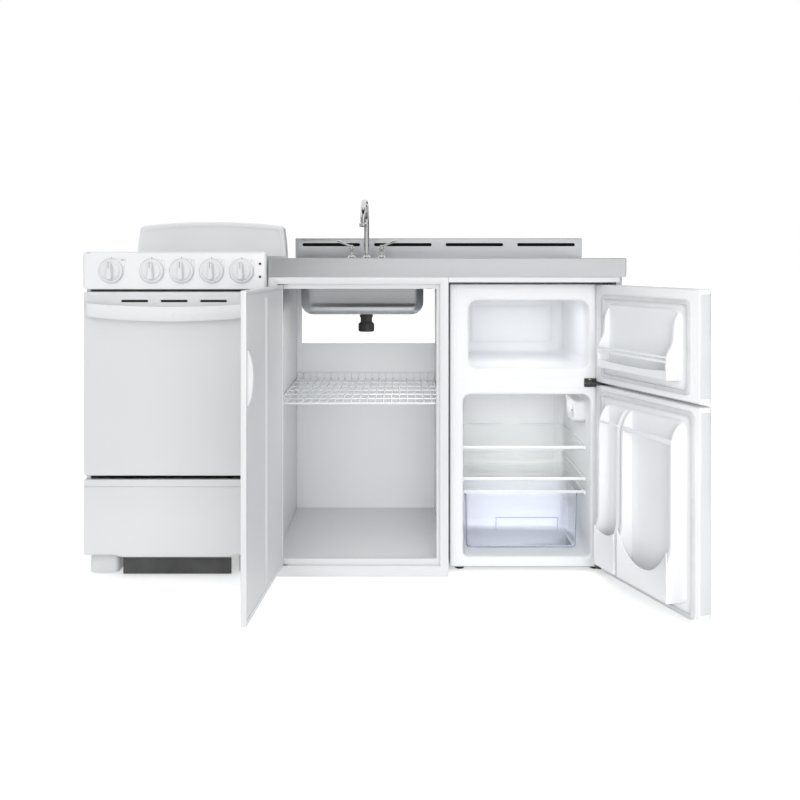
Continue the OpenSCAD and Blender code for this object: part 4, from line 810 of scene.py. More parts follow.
def make_backguard():
    """Tapered, with an arched top; its face sinks a little inside a raised border."""
    low, high = low_high("backguard")
    arch, taper, corner = 13.0, 9.0, 15.0
    foot, half = low[2], (high[0] - low[0]) / 2
    height = high[2] - foot - arch

    def outline(inset=0.0):
        """From the foot's left end round to its right end, over the arch."""
        r = max(corner - inset, 1.0)
        points = [(RANGE_MID - half + inset, foot), (RANGE_MID - half + inset + taper * 0.4,
                                                     foot + height * 0.5)]
        left = RANGE_MID - half + taper + inset
        top = foot + height - inset
        right = 2 * RANGE_MID - left
        for k in range(9):
            a = radians(180 - 90 * k / 8)
            points.append((left + r + r * cos(a), top - r + r * sin(a)))
        for k in range(1, 24):
            t = k / 24
            points.append((left + r + (2 * (RANGE_MID - left - r)) * t,
                           top + arch * (1 - (2 * t - 1) ** 2)))
        for k in range(9):
            a = radians(90 - 90 * k / 8)
            points.append((right - r + r * cos(a), top - r + r * sin(a)))
        return points + [(2 * RANGE_MID - points[1][0], points[1][1]), (2 * RANGE_MID - points[0][0], foot)]

    profile = [(1.0, high[1]), (0.0, high[1] - 1.0)] + soft_edge(low[1], high[1], 6, 5)[::-1]
    profile += along(low[1], [(13.0, 0), (15.0, 0.5), (18.0, 1.5), (20.0, 1.8)])
    make("backguard_shell", Shape().plate("xz", outline, profile), PAINT_LIT_COPY, "unit", ["backguard"],
         smooth=50)


def make_oven_door():
    """The painted front with its air slots, and a black sheet behind them that stands in for the shade inside
    the door: painted shade.
    """
    low, high = low_high("oven_door_skin")
    section = rounded(low[0], high[0], low[2], high[2], 5)
    front = Shape().plate("xz", section, slab_profile(low[1], high[1], 4.5))
    hollow = Shape().block((low[0] + 3, low[1] + 2, low[2] + 3), (high[0] - 3, high[1] + 4, high[2] - 3))
    slots = Shape()
    for x in (RANGE_MID - 112, RANGE_MID, RANGE_MID + 112):
        slots.plate("xz", rounded(x - 38, x + 38, 788.5, 795, 3.2),
                    along(low[1], [(-1.0, -1), (0.0, 1), (0.0, 6)]))
    make("oven_door_front", front, PAINT, "oven_door", ["oven_door_skin"], cuts=[hollow, slots])
    # a black sheet behind the slots: painted shade of the dark space inside the door
    dark = Shape().block((RANGE_MID - 158, low[1] + 6, 780), (RANGE_MID + 158, low[1] + 7, 803))
    make("oven_door_slot_painted_shade", dark, BLACK, "oven_door", bevel=0.3)


def handle_ring(x, low, high):
    """The handle's section at x: tall, thin and a little crowned, turning to the door at both ends."""
    half = (high[0] - low[0]) / 2
    t = (x - RANGE_MID) / half
    # shares of the way through the bend at the end, and through its round tip
    end, tip = (max(0.0, (abs(t) * half - (half - run)) / run) for run in (46, 16))
    tip_round = 1 - sqrt(max(0.0, 1 - tip ** 2))
    front = low[1] + 30.0 * (1 - sqrt(max(0.0, 1 - end ** 2.4)))
    back = min(front + 15 + 20 * end ** 1.5, high[1] - 0.2)
    droop = 1 - t * t
    top = high[2] - 1.0 - 10.5 * droop
    bottom = top - 36.5 - 4.5 * droop + 13 * tip_round
    top -= 3 * tip_round
    section = [(x, front + 3.0 - 3.0 * sin(pi * k / 12) ** 0.7, bottom + (top - bottom) * k / 12)
               for k in range(13)]
    section += [(x, front + 3.6, top - 0.6), (x, back - 2, top - 0.8), (x, back, top - 3)]
    return section + [(x, back, bottom + 3), (x, back - 2, bottom + 0.8), (x, front + 3.6, bottom + 0.3)]


def make_handle():
    low, high = low_high("oven_door_handle")
    half = (high[0] - low[0]) / 2
    stations = [sin(pi / 2 * k / 30) for k in range(-30, 31)]
    rings = [handle_ring(RANGE_MID + half * s, low, high) for s in stations]
    make("oven_door_grip", Shape().loft(rings), KNOB, "oven_door", ["oven_door_handle"], smooth=60)


def make_drawer():
    """The drawer front: a bright rolled finger lip on top and a bottom edge that steps down by a curve."""
    low, high = low_high("storage_drawer")
    x0, x1, step, drop = RANGE_X + 3.5, RANGE_END - 3.5, 96.0, 6.0
    foot, top = 64.0, 284.0
    corners = [(x0, foot + drop, 180, 1, 1), (x1, foot + drop, 270, -1, 1), (x1, top, 0, -1, -1),
               (x0, top, 90, 1, -1)]

    def outline(inset=0.0):
        points = []
        r = max(4 - inset, 0.05)
        for i, (x, z, start, sx, sz) in enumerate(corners):
            for k in range(5):
                a = radians(start + 90 * k / 4)
                points.append((x + sx * (inset + r) + r * cos(a), z + sz * (inset + r) + r * sin(a)))
            if i == 0:
                # down to the foot and up again
                for middle, way in ((x0 + step, 1), (x1 - step, -1)):
                    points += [(middle - 12 + 24 * k / 8,
                                foot + drop * (1 + way * cos(pi * k / 8)) / 2 + inset)
                               for k in range(9)]
        return points

    front_y, back_y = RANGE_FRONT, RANGE_FRONT + 18
    face = Shape().plate("xz", outline, slab_profile(front_y, back_y, 4.0))
    section = [(front_y - 3, 262.5), (front_y + 2.6, 263.4), (front_y + 3.4, 266.0), (front_y - 3, 266.6)]
    groove = Shape().plate("yz", lambda inset: section, [(0, x0 - 5), (0, x1 + 5)])
    make("drawer_front", face, PAINT, "storage_drawer", ["storage_drawer"], cuts=[groove])
    tub_top, tub_low = 236.0, 84.0
    around = rounded(low[0] + 26, high[0] - 26, back_y - 1, high[1], 6)
    tub = Shape().plate("xy", around, [(4, tub_low), (0, tub_low + 4), (0, tub_top), (1.2, tub_top),
                                       (1.2, tub_low + 4), (5, tub_low + 1.2)])
    make("drawer_tub", tub, PAINT_GREY, "storage_drawer", smooth=40)


def make_range_feet():
    """Moulded covers round the front legs, levelling feet and their threaded stems."""
    covers, pads = Shape(), Shape()
    for x0 in (RANGE_X + 4, RANGE_END - 88):
        outline = rounded(x0, x0 + 84, -279, -211, 14, 8)
        covers.plate("xy", outline, [(3.0, 4.0), (0.6, 5.0), (0.0, 7.5), (0.0, 46.0), (1.6, 50.0),
                                     (1.8, 62.0)])
    foot = [(15.5, 0.0), (17.0, 1.2), (17.0, 7.0), (13.5, 10.0), (5.0, 10.0), (5.0, 62.0), (0.0, 62.0)]
    for x in (RANGE_X + 42, RANGE_END - 42):
        for y in (-247.0, 199.0):
            pads.spin(foot, (x, y, 0), "z", 40)
    make("front_leg_covers", covers, PAINT, "unit", ["range_legs"], smooth=40)
    make("range_feet", pads, MACHINE, "unit", smooth=40)


make_control_panel()
make_dial_marks()
make_knobs()
make_lamps()
make_backguard()
make_oven_door()
make_handle()
make_drawer()
make_range_feet()


# The sink counter and its faucet

COUNTER_X, COUNTER_END, COUNTER_TOP = -252.0, 776.0, 914.0
APRON_LOW = 859.0
BOWL_LOW, BOWL_HIGH = low_high("sink_bowl")
BOWL_X, BOWL_END = BOWL_LOW[0] + 1.5, BOWL_HIGH[0] - 1.5
BOWL_FRONT, BOWL_BACK = BOWL_LOW[1] + 1.5, BOWL_HIGH[1] - 1.5
FAUCET_X, FAUCET_Y, LEVER_REACH = 14.0, 165.0, 50.8


def make_countertop():
    """One folded sheet: a front apron with a hem, a deck with soft edges, and a cut-out for the bowl."""
    edge = rounded(COUNTER_X, COUNTER_END, -305, 305, 2.6, 5)
    apron = [(1.6, 1.5), (9.0, 1.5), (9.0, 0), (1.2, 0), (0.0, 1.2)]
    deck = [(0.0, -2.6), (0.5, -1.1), (1.3, -0.3), (2.5, 0)]
    profile = along(COUNTER_TOP, [(1.6, -1.7)]) + along(APRON_LOW, apron) + along(COUNTER_TOP, deck)
    hole = rounded(BOWL_X - 3, BOWL_END + 3, BOWL_FRONT - 3, BOWL_BACK + 3, 41, 10)
    make("steel_countertop", Shape().plate("xy", edge, profile), STEEL_X, "unit", ["countertop"], smooth=30,
         cuts=[Shape().plate("xy", hole, along(COUNTER_TOP, [(0, -9), (0, 6)]))])


def make_backsplash():
    """A box of folded steel with a rolled top and four vent slots, with black sheets behind them as painted
    shade of the space inside.
    """
    x0, x1, y0, y1 = COUNTER_X + 12, COUNTER_END - 12, 290.0, 305.0
    section = rounded(y0, y1, COUNTER_TOP - 1, 984.0, [0.5, 0.5, 2.0, 4.5])
    slots, vent_shade = Shape(), Shape()
    pitch = (x1 - x0) / 4
    for i in range(4):
        x = x0 + (i + 0.5) * pitch
        slots.plate("xz", rounded(x - 101, x + 101, 955.2, 966.4, 5.4, 6),
                    along(y0, [(-0.4, -2), (0, 0.4), (0, 5)]))
        # a black sheet behind each slot: painted shade of the space inside the box
        vent_shade.plate("xz", rounded(x - 100.9, x + 100.9, 955.3, 966.3, 5.3, 6),
                    along(y0, [(0, 3.2), (0, 6)]))
    panel = Shape().plate("yz", section, both_ends(x0, x1, 1.6, 3))
    make("steel_backsplash", panel, STEEL_X, "unit", cuts=[slots])
    make("backsplash_vent_painted_shade", vent_shade, VENT_SHADE_BLACK, "unit", smooth=30)


def make_bowl():
    """A pressed bowl with a rolled lip, round corners and a floor that falls to the drain."""
    floor, round_foot = BOWL_LOW[2] + 1.5, 36
    wall = rounded(BOWL_X, BOWL_END, BOWL_FRONT, BOWL_BACK, 38, 10)
    inner = along(COUNTER_TOP, [(-3.0, -0.05), (-1.6, -0.4), (-0.5, -1.5), (0.0, -3.2), (0.4, -60)])
    inner += [(1.0 + round_foot * (1 - cos(a)), floor + 37 - round_foot * sin(a)) for a in quarter(8, 0)]
    inner += [(80.0, floor + 0.6), (120.0, floor)]
    outer = [(inset - 1.5, height - (1.5 if height < floor + 30 else 0)) for inset, height in inner[4:]]
    profile = along(COUNTER_TOP, [(-3.0, -1.6), (-2.2, -2.2), (-1.5, -4.2)]) + outer + inner[::-1]
    make("sink_bowl_shell", Shape().plate("xy", wall, profile, loop=True), STEEL_BOWL, "unit",
         ["sink_bowl"], smooth=45)
    # the floor that closes the ring, with its hole
    patch = rounded(BOWL_X + 119, BOWL_END - 119, BOWL_FRONT + 119, BOWL_BACK - 119, 8, 4)
    hole = Shape().spin([(18.4, floor - 8), (18.4, floor + 8)], (drain_place()[0], -80, 0), "z", 48)
    make("sink_bowl_floor", Shape().plate("xy", patch, along(floor, [(-1.0, -1.5), (-1.0, 0)])), STEEL_BOWL,
         "unit", cuts=[hole])


def drain_place():
    low, high = low_high("drain_body")
    return (low[0] + high[0]) / 2, (low[1] + high[1]) / 2, low[2], high[2]


def make_drain():
    """A black drain: its flange in the bowl, a ribbed tailpiece and a slip nut with wings."""
    x, y, low, high = drain_place()
    flange = along(high, [(15.0, -1.0), (30.0, 0), (32.0, -0.7)])
    collar = along(high - 2, [(31.4, 0), (18.0, 0), (18.0, -8), (20.5, -8.5), (20.5, -15.0), (18.0, -15.5)])
    pipe = along(low, [(18.0, 20), (17.4, 18), (17.4, 0), (16.0, 0), (16.0, 30), (15.0, 30.5)])
    body = Shape().spin(flange + collar + pipe + flange[:1], (x, y, 0), "z", 64, NO_CAPS)
    make("drain_tailpiece", body, BLACK, "unit", ["drain_body"], smooth=40)
    nut_low, nut_high = low_high("drain_nut")
    base, top = nut_low[2], nut_high[2]
    profile = along(base, [(17.0, 0), (21.5, 0), (23.0, 1.4)])
    profile += along(top, [(23.0, -4), (22.0, -1.4), (20.6, 0), (18.15, 0)])
    profile += along(base, [(18.15, 6), (17.0, 5.4), (17.0, 0)])
    nut = Shape().spin(profile, (x, y, 0), "z", 64, NO_CAPS)
    for k in range(12):
        rib = Shape().block((21.6, -1.7, base + 2), (24.6, 1.7, top - 3))
        nut.join(rib.moved(turned_at((x, y, 0), 30 * k)))
    make("drain_slip_nut", nut, BLACK, "unit", ["drain_nut"], smooth=35)


def make_faucet():
    """Domed escutcheons, ringed stems, and under the deck the cross tube, nuts and threaded shanks."""
    body, under = Shape(), Shape()
    base = low_high("faucet_body")[0][2]
    dome = [(0.0, 0.0), (14.6, 0.0), (15.0, 0.8), (14.7, 2.0), (13.6, 4.2), (11.8, 6.4)]
    stem = dome + [(9.9, 8.0), (8.6, 9.2), (8.2, 10.4), (8.2, 12.0), (9.0, 12.6), (9.0, 14.4), (7.8, 15.2),
                   (7.0, 17.6),
                   (6.8, 21.0), (7.2, 23.6), (8.4, 25.4), (8.5, 27.2), (8.0, 28.0), (0.0, 28.0)]
    collar = dome + [(10.6, 7.4), (10.0, 8.0), (9.4, 8.6), (0.0, 8.6)]
    shank = [(0.0, base)]
    for k in range(22):
        shank += along(base + 0.4 + k * 1.5, [(9.4, 0), (10.2, 0.6), (9.4, 1.2)])
    shank += [(9.6, base + 34.4), (9.6, COUNTER_TOP - 1), (0.0, COUNTER_TOP - 1)]
    nut = along(base, [(9.8, 34.6), (13.4, 34.6), (14.1, 35.4), (14.1, 46.6), (13.4, 47.4), (9.8, 47.4)])
    for x in (FAUCET_X - LEVER_REACH, FAUCET_X + LEVER_REACH):
        body.spin(along(COUNTER_TOP, stem), (x, FAUCET_Y, 0), "z", 48)
        under.spin(shank, (x, FAUCET_Y, 0), "z", 32)
        under.spin(nut, (x, FAUCET_Y, 0), "z", 24)
    body.spin(along(COUNTER_TOP, collar), (FAUCET_X, FAUCET_Y, 0), "z", 48)
    make("faucet_escutcheons", body, CHROME, "unit", ["faucet_body"], smooth=40)
    under.tube([(FAUCET_X - LEVER_REACH, FAUCET_Y, 893.5), (FAUCET_X + LEVER_REACH, FAUCET_Y, 893.5)], 5.8,
               20)
    under.spin([(0.0, 884.0), (8.6, 884.0), (9.0, 885.0), (9.0, COUNTER_TOP - 1), (0.0, COUNTER_TOP - 1)],
               (FAUCET_X, FAUCET_Y, 0), "z", 32)
    make("faucet_shanks", under, ZINC, "unit", smooth=30)


def make_spout():
    """The gooseneck with a ring at its foot and an aerator at its mouth, turned a little to the left."""
    low, high = low_high("faucet_spout")
    neck, tube = 65.0, 8.5
    start = low[2] + 11.6
    mid_z = high[2] - tube - neck
    path = [(0, 0, start), (0, 0, start + 60), (0, 0, mid_z - 20)]
    for k in range(33):
        a = pi * k / 32
        path.append((0, -neck + neck * cos(a), mid_z + neck * sin(a)))
    spout = Shape().tube(path + [(0, -2 * neck, mid_z - 5)], tube - 0.2, 32)
    spout.spin(along(start, [(0.0, -10), (5.8, -10), (5.8, -0.2), (9.6, 0), (10.0, 0.8), (10.0, 5.6),
                             (9.5, 6.6), (8.6, 7.4),
                             (0.0, 7.4)]), (0, 0, 0), "z", 48)
    mouth = mid_z - 20
    spout.spin(along(mouth, [(9.4, 8), (9.4, 0), (11.3, 0), (11.9, 0.7), (11.9, 10.5), (11.4, 11.6),
                             (10.2, 12.2), (9.9, 14.0),
                             (9.0, 15.2), (0.0, 15.4), (0.0, 8.0)]), (0, -2 * neck, 0), "z", 48,
                             caps=(True, False))
    for k in range(24):
        ridge = Shape().block((11.5, -0.6, mouth + 1.6), (12.0, 0.6, mouth + 9.6))
        spout.join(ridge.moved(turned_at((0, -2 * neck, 0), 15 * k)))
    make("faucet_gooseneck", spout.moved(turned_at((FAUCET_X, FAUCET_Y, 0), -3)), CHROME, "faucet_spout",
         ["faucet_spout"], smooth=50)


def make_lever(name, side):
    """A lever that rises from a ringed cap, leans out and widens into a flat oval end."""
    low, high = low_high(name)
    x, base = FAUCET_X + side * LEVER_REACH, low[2] + 11.6
    cap = [(0.0, -11), (3.9, -11), (3.9, 0), (8.6, 0), (9.0, 0.7), (9.0, 5.0), (8.4, 6.2), (7.0, 7.2),
           (6.6, 9.0),
           (6.9, 11.0), (6.2, 13.2), (4.4, 14.6), (0.0, 15.2)]
    lever = Shape().spin(along(base, cap), (x, FAUCET_Y, 0), "z", 40)
    reach = (high[0] - x if side > 0 else x - low[0]) - 0.3
    rise = high[2] - (base + 9) - 1.4
    lean = Vector((side * -0.42, 0, 0.90))
    rings = []
    for k in range(22):
        t = k / 21
        middle = Vector((x + side * (t * reach), FAUCET_Y, base + 9 + rise * (1.10 * t - 0.10 * t * t)))
        # the oval is widest at 0.82 of the reach, and its last rings close in a round
        swell = exp(-((t - 0.82) / 0.16) ** 2)
        wide, tall = 3.8 + 1.4 * t + 2.8 * swell, 3.6 - 0.5 * t + 1.5 * swell
        if k >= 19:
            squeeze = sqrt(max(0.02, 1 - ((k - 18) / 3.05) ** 2))
            wide, tall = wide * squeeze, tall * squeeze
        rings.append([middle + Vector((0, wide * cos(a), 0)) + lean * tall * sin(a) for a in turns(20)])
    make(name + "_handle", lever.loft(rings), CHROME, name, [name], smooth=50)


make_countertop()
make_backsplash()
make_bowl()
make_drain()
make_faucet()
make_spout()
make_lever("hot_lever", -1)
make_lever("cold_lever", 1)


# The sink cabinet

FRAME_X, FRAME_END, FRAME_Y, FRAME_BACK, CABINET_TOP = -252.0, 266.0, -303.0, -270.0, 859.0
BOARD, CABINET_BACK = 18.0, 289.0
SINK_HINGE = (-218.4, -299.4)


def make_face_frame():
    """A folded frame with a rebate for the door, its edges rolled over the sheet's own radius."""
    slab = Shape().plate("xz", rounded(FRAME_X, FRAME_END, 0, CABINET_TOP, 0.6, 2),
                         slab_profile(FRAME_Y, FRAME_BACK, 1.4))
    rebate = Shape().plate("xz", rounded(-225.0, 241.0, 30.0, 839.0, 0.8, 2),
                           along(FRAME_Y, [(-2.2, -1), (-1.2, -0.01), (-0.4, 0.5), (0, 1.4), (0, 15)]))
    edge = along(FRAME_Y, [(-1.0, 14.6), (-1.0, 15), (-0.3, 15.3), (0, 16)])
    opening = Shape().plate("xz", rounded(-216.0, 232.0, 46.0, 825.0, 0.8, 2), edge + [(0, FRAME_BACK + 2)])
    make("cabinet_face_frame", slab, PAINT, "unit", ["face_frame"], smooth=30, cuts=[rebate, opening])


def make_cabinet_panels():
    """The two sides of the sink cabinet and the end panel, folded sheet, with flanges and screw holes."""
    sides = Shape()
    # the smooth faces look into the cabinet, and the end panel's looks out
    for face, hollow, front in ((FRAME_X + BOARD, FRAME_X, FRAME_BACK + 0.1),
                                (FRAME_END - BOARD, FRAME_END, FRAME_BACK + 0.1),
                                (776.0, 776.0 - BOARD, -255.0)):
        way = 1 if hollow > face else -1
        profile = [(1.3, face), (0.4, face + way * 0.3), (0.0, face + way * 1.2), (0.0, hollow),
                   (1.0, hollow), (1.0, face + way)]
        sides.plate("yz", rounded(front, CABINET_BACK, 0, CABINET_TOP - 0.1, 1.4, 3), profile)
    # flanges at the back, above the back panel
    sides.plate("xz", rounded(-233.9, -216.0, 8, CABINET_TOP - 2, 0.6, 2), slab_profile(282.0, 284.6, 0.8))
    # the strip above the refrigerator
    sides.plate("xz", rounded(266.4, 757.9, 844, CABINET_TOP - 0.1, 0.8, 2), slab_profile(-303, -289, 1.2))
    holes = Shape()
    for x in (FRAME_X + BOARD, FRAME_END - BOARD):
        holes.spin([(2.6, -4), (2.6, 4)], (x, 210.0, 318.0), "x", 20)
    make("cabinet_side_panels", sides, PAINT_INNER, "unit", ["cabinet_panels"], smooth=30, cuts=[holes])


def make_cabinet_back():
    top = 616
    panel = Shape().plate("xz", rounded(-233.8, 247.8, 36, top, 0.6, 2),
                          [(0.6, 285.0), (0.0, 285.6), (0.0, 288.6), (0.4, 289.0)])
    # its top edge is folded back over itself
    panel.tube([(-233.6, 286.4, top - 1), (247.6, 286.4, top - 1)], 1.0, 10)
    make("cabinet_back_panel", panel, PAINT_INNER, "unit", ["cabinet_back"], smooth=35)


def make_cabinet_floor():
    floor = Shape().plate("xy", rounded(-233.8, 247.8, FRAME_BACK, 284.8, 1.0, 2),
                          [(0.0, 36.2), (0.0, 39.3), (0.3, 39.8), (0.9, 40.0)])
    for x in (-233.6, -13.0, 207.8):
        floor.plate("yz", rounded(FRAME_BACK, 284.6, 0, 36.4, 1.0, 2), eased(x, x + 39.8, 0.6))
    make("cabinet_floor_pan", floor, PAINT_INNER, "unit", ["cabinet_floor"], smooth=35)


def make_cabinet_fittings():
    """Hinge plates with their pins, two magnetic catches and the shelf's clips."""
    pin_x, pin_y = SINK_HINGE
    metal = Shape()
    # each plate's low and high face, its pin's ends, and the face its screws sit on
    for z0, z1, pin, head in ((30.0, 31.5, (31, 42), 31.5), (837.5, 839.0, (827, 838), 837.5)):
        metal.plate("xy", rounded(pin_x - 3, pin_x + 22, pin_y - 3, pin_y + 8, 2.4, 4), eased(z0, z1, 0.3))
        metal.spin([(1.6, pin[0]), (2.2, pin[0] + 0.7), (2.2, pin[1] - 0.7), (1.6, pin[1])],
                   (pin_x, pin_y, 0), "z", 24)
        for reach in (8.0, 17.0):
            screw = along(head, [(1.9, -0.5), (1.9, 0.4), (1.2, 0.9)])
            metal.spin(screw, (pin_x + reach, pin_y + 2.6, 0), "z", 16)
    for x in (-234.0, 238.0):
        for y in (-230.0, 229.0):
            metal.block((x, y, 479.0), (x + 10, y + 16, 487.0))
    make("cabinet_metal_fittings", metal, ZINC, "unit", ["cabinet_fittings"], smooth=35, bevel=0.4)
    catches = Shape().block((198.0, -270.0, 825.2), (224.0, -258.0, 837.0))
    catches.block((202.0, -271.5, 823.4), (220.0, -264.0, 825.4))
    catches.block((232.2, -270.0, 58.0), (243.8, -258.0, 86.0))
    make("cabinet_catches", catches, GASKET_GREY, "unit", smooth=35, bevel=0.6)


def grown(name, tree, inputs, smooth=60):
    """A piece made by a Geometry Nodes tree with its named inputs set, then turned into a plain mesh."""
    piece = added(name, bpy.data.meshes.new(name))
    modifier = piece.modifiers.new(tree.name, "NODES")
    modifier.node_group = tree
    for item in tree.interface.items_tree:
        if item.item_type == "SOCKET" and item.in_out == "INPUT" and item.name in inputs:
            modifier[item.identifier] = inputs[item.name]
    shade(settled(piece).data, smooth)
    put(piece, "unit", ())


def new_tree(name, sockets):
    """A new Geometry Nodes tree with named inputs {name: (kind, start value)}, its word and its inputs."""
    tree = bpy.data.node_groups.new(name, "GeometryNodeTree")
    tree.is_modifier = True
    tree.interface.new_socket("Geometry", in_out="INPUT", socket_type="NodeSocketGeometry")
    for label, (kind, value) in {"Start": ("Vector", (0, 0, 0)), **sockets,
                                 "Material": ("Material", None)}.items():
        socket = tree.interface.new_socket(label, in_out="INPUT", socket_type="NodeSocket" + kind)
        if value is not None:
            socket.default_value = value
    tree.interface.new_socket("Geometry", in_out="OUTPUT", socket_type="NodeSocketGeometry")
    node = wired(tree)
    return tree, node, node("NodeGroupInput").outputs


def spread(node, count, gap, thing):
    """count copies of a thing, each moved on by the gap."""
    line = node("GeometryNodeMeshLine", {"Count": count, "Offset": gap}).outputs[0]
    return node("GeometryNodeInstanceOnPoints", {"Points": line, "Instance": thing}).outputs[0]


def gap_for(node, length, count, axis):
    """The step along an axis that spreads count things over a length."""
    fewer = node("ShaderNodeMath", {0: count, 1: 1.0}, operation="SUBTRACT").outputs[0]
    step = node("ShaderNodeMath", {0: length, 1: fewer}, operation="DIVIDE").outputs[0]
    return node("ShaderNodeCombineXYZ", {axis: step}).outputs[0]


def rod(node, curve, radius, sides):
    ring = node("GeometryNodeCurvePrimitiveCircle", {"Resolution": sides, "Radius": radius}).outputs[0]
    return node("GeometryNodeCurveToMesh", {"Curve": curve, "Profile Curve": ring,
                                            "Fill Caps": True}).outputs[0]


def finished(node, given, geometry):
    """Moves a tree's geometry to its start, makes its copies real and gives it its material."""
    placed = node("GeometryNodeTransform", {"Geometry": geometry, "Translation": given["Start"]}).outputs[0]
    solid = node("GeometryNodeRealizeInstances", {0: placed}).outputs[0]
    coated = node("GeometryNodeSetMaterial", {"Geometry": solid, "Material": given["Material"]}).outputs[0]
    node("NodeGroupOutput", {0: coated})


def wire_shelf_tree():
    """Rows of wires on a frame: cross wires in X, long wires in Y with a lip that turns up at the back."""
    tree, node, given = new_tree("wire_shelf", {
        "Size": ("Vector", (1, 1, 0)), "Long Wires": ("Int", 20), "Cross Wires": ("Int", 7),
        "Long Radius": ("Float", 0.0016), "Cross Radius": ("Float", 0.0022), "Lip": ("Float", 0.02)})
    size = node("ShaderNodeSeparateXYZ", {0: given["Size"]}).outputs
    lifted = node("ShaderNodeMath", {0: given["Long Radius"], 1: given["Cross Radius"]},
                  operation="ADD").outputs[0]
    # cross wires
    end = node("ShaderNodeCombineXYZ", {0: size[0]}).outputs[0]
    line = node("GeometryNodeCurvePrimitiveLine", {"Start": (0, 0, 0), "End": end}).outputs[0]
    cross = spread(node, given["Cross Wires"], gap_for(node, size[1], given["Cross Wires"], 1),
                   rod(node, line, given["Cross Radius"], 10))
    # long wires, each with its lip
    foot = node("ShaderNodeCombineXYZ", {2: lifted}).outputs[0]
    heel = node("ShaderNodeCombineXYZ", {1: size[1], 2: lifted}).outputs[0]
    lip_z = node("ShaderNodeMath", {0: lifted, 1: given["Lip"]}, operation="ADD").outputs[0]
    tip = node("ShaderNodeCombineXYZ", {1: size[1], 2: lip_z}).outputs[0]
    first = node("GeometryNodeCurvePrimitiveLine", {"Start": foot, "End": heel}).outputs[0]
    rise = node("GeometryNodeCurvePrimitiveLine", {"Start": heel, "End": tip}).outputs[0]
    joined, both = node("GeometryNodeJoinGeometry"), node("GeometryNodeJoinGeometry")
    for curve in (rise, first):
        tree.links.new(curve, joined.inputs[0])
    longs = spread(node, given["Long Wires"], gap_for(node, size[0], given["Long Wires"], 0),
                   rod(node, joined.outputs[0], given["Long Radius"], 10))
    for wires in (longs, cross):
        tree.links.new(wires, both.inputs[0])
    finished(node, given, both.outputs[0])
    return tree


def make_wire_shelf():
    low, high = low_high("wire_shelf")
    x0, x1, y0, y1, z = low[0] + 3, high[0] - 3, low[1] + 3, high[1] - 3, 490.0
    grown("wire_shelf_grid", wire_shelf_tree(), {
        "Start": [x0 / 1000, y0 / 1000, z / 1000], "Size": [(x1 - x0) / 1000, (y1 - y0) / 1000, 0.0],
        "Long Wires": 21,
        "Cross Wires": 7, "Long Radius": 0.0016, "Cross Radius": 0.0022, "Lip": 0.022, "Material": WIRE},
        smooth=50)
    rim = Shape()
    for y, radius in ((y0, 3.0), (y1, 2.6)):
        rim.tube([(x0, y, z), (x1, y, z)], radius, 14)
    for x in (x0, x1):
        rim.tube([(x, y0, z), (x, y1, z)], 2.8, 14)
    rim.tube([(x0, y1, z + 25.5), (x1, y1, z + 25.5)], 1.9, 12)
    make("wire_shelf_rim", rim, WIRE, "unit", ["wire_shelf"], smooth=50)


def make_sink_door():
    """The open door: a folded skin, an inner sheet held by the skin's hem, a stiffener and a pull pocket."""
    turn = about(SINK_HINGE, -94)
    x0, x1, z0, z1 = -222.0, 238.0, 33.0, 836.0
    front, back = -303.0, -289.0
    hem = along(back, [(0, -0.8), (0.25, -0.2), (0.9, 0), (11.5, 0), (12.2, -0.25), (12.4, -0.9)])
    skin = Shape().plate("xz", rounded(x0, x1, z0, z1, 1.2, 3),
                         soft_edge(front, back, 1.6) + hem + [(12.4, front + 3)])
    left, right, pocket_low, pocket_high = 198.0, 222.0, 560.0, 690.0
    slot = Shape().plate("xz", rounded(left + 0.4, right - 0.4, pocket_low + 0.4, pocket_high - 0.4, 4, 4),
                         along(front, [(-2.0, -1), (-0.9, 0), (0, 0.9), (0, 6)]))
    make("sink_door_panel", skin.moved(turn), PAINT, "sink_door", ["sink_door_skin"], smooth=30,
         cuts=[slot.moved(turn)])
    inner = Shape().plate("xz", rounded(x0 + 11.8, x1 - 11.8, z0 + 11.8, z1 - 11.8, 1, 2),
                          along(back, [(0, -3.4), (0, -2.0), (0.6, -1.5)]))
    mid = (x0 + x1) / 2
    rib = along(back, [(-16, -1.6), (-13, -1.2), (-9, 2.6), (-8, 3.2), (8, 3.2), (9, 2.6), (13, -1.2),
                       (16, -1.6)])
    inner.loft([[(mid + u, back - 1.6 if flat else y, z) for u, y in rib]
                for flat, z in ((True, z0 + 24), (False, z0 + 32), (False, z1 - 32), (True, z1 - 24))],
               open_rings=True, caps=(False, False))
    # the back of the pull pocket bows out to a crescent
    left, right = left - 1.5, right + 1.5
    bows = []
    for k in range(25):
        depth = 1.0 + 11.6 * sin(pi * (k / 24)) ** 0.6
        z = pocket_low - 1.5 + k / 24 * (pocket_high - pocket_low + 3)
        bow = [(left - 3, -1.6), (left, -0.8), (left + 1, 0.72 * depth), (left + 4, depth)]
        bow += [(right - 4, depth), (right - 1, 0.72 * depth), (right, -0.8), (right + 3, -1.6)]
        bows.append([(x, y, z) for x, y in along(back, bow)])
    inner.loft(bows)
    hinge = Shape().plate("xz", rounded(x0 + 1.6, x0 + 10.6, z1 - 78, z1 - 3, 2, 4),
                          along(back, [(0, -0.4), (0, 0.05), (0.2, 0.2)]))
    for drop in (14, 40, 66):
        hinge.spin(along(back, [(2.4, 0.1), (2.2, 0.24), (1.2, 0.26)]), (x0 + 6.1, 0, z1 - drop), "y", 16)
    make("sink_door_hinge_plate", hinge.moved(turn), ZINC, "sink_door", smooth=35)
    make("sink_door_inside", inner.moved(turn), PAINT_INNER, "sink_door", ["sink_door_liner"], smooth=32)


make_face_frame()
make_cabinet_panels()
make_cabinet_back()
make_cabinet_floor()
make_cabinet_fittings()
make_wire_shelf()
make_sink_door()


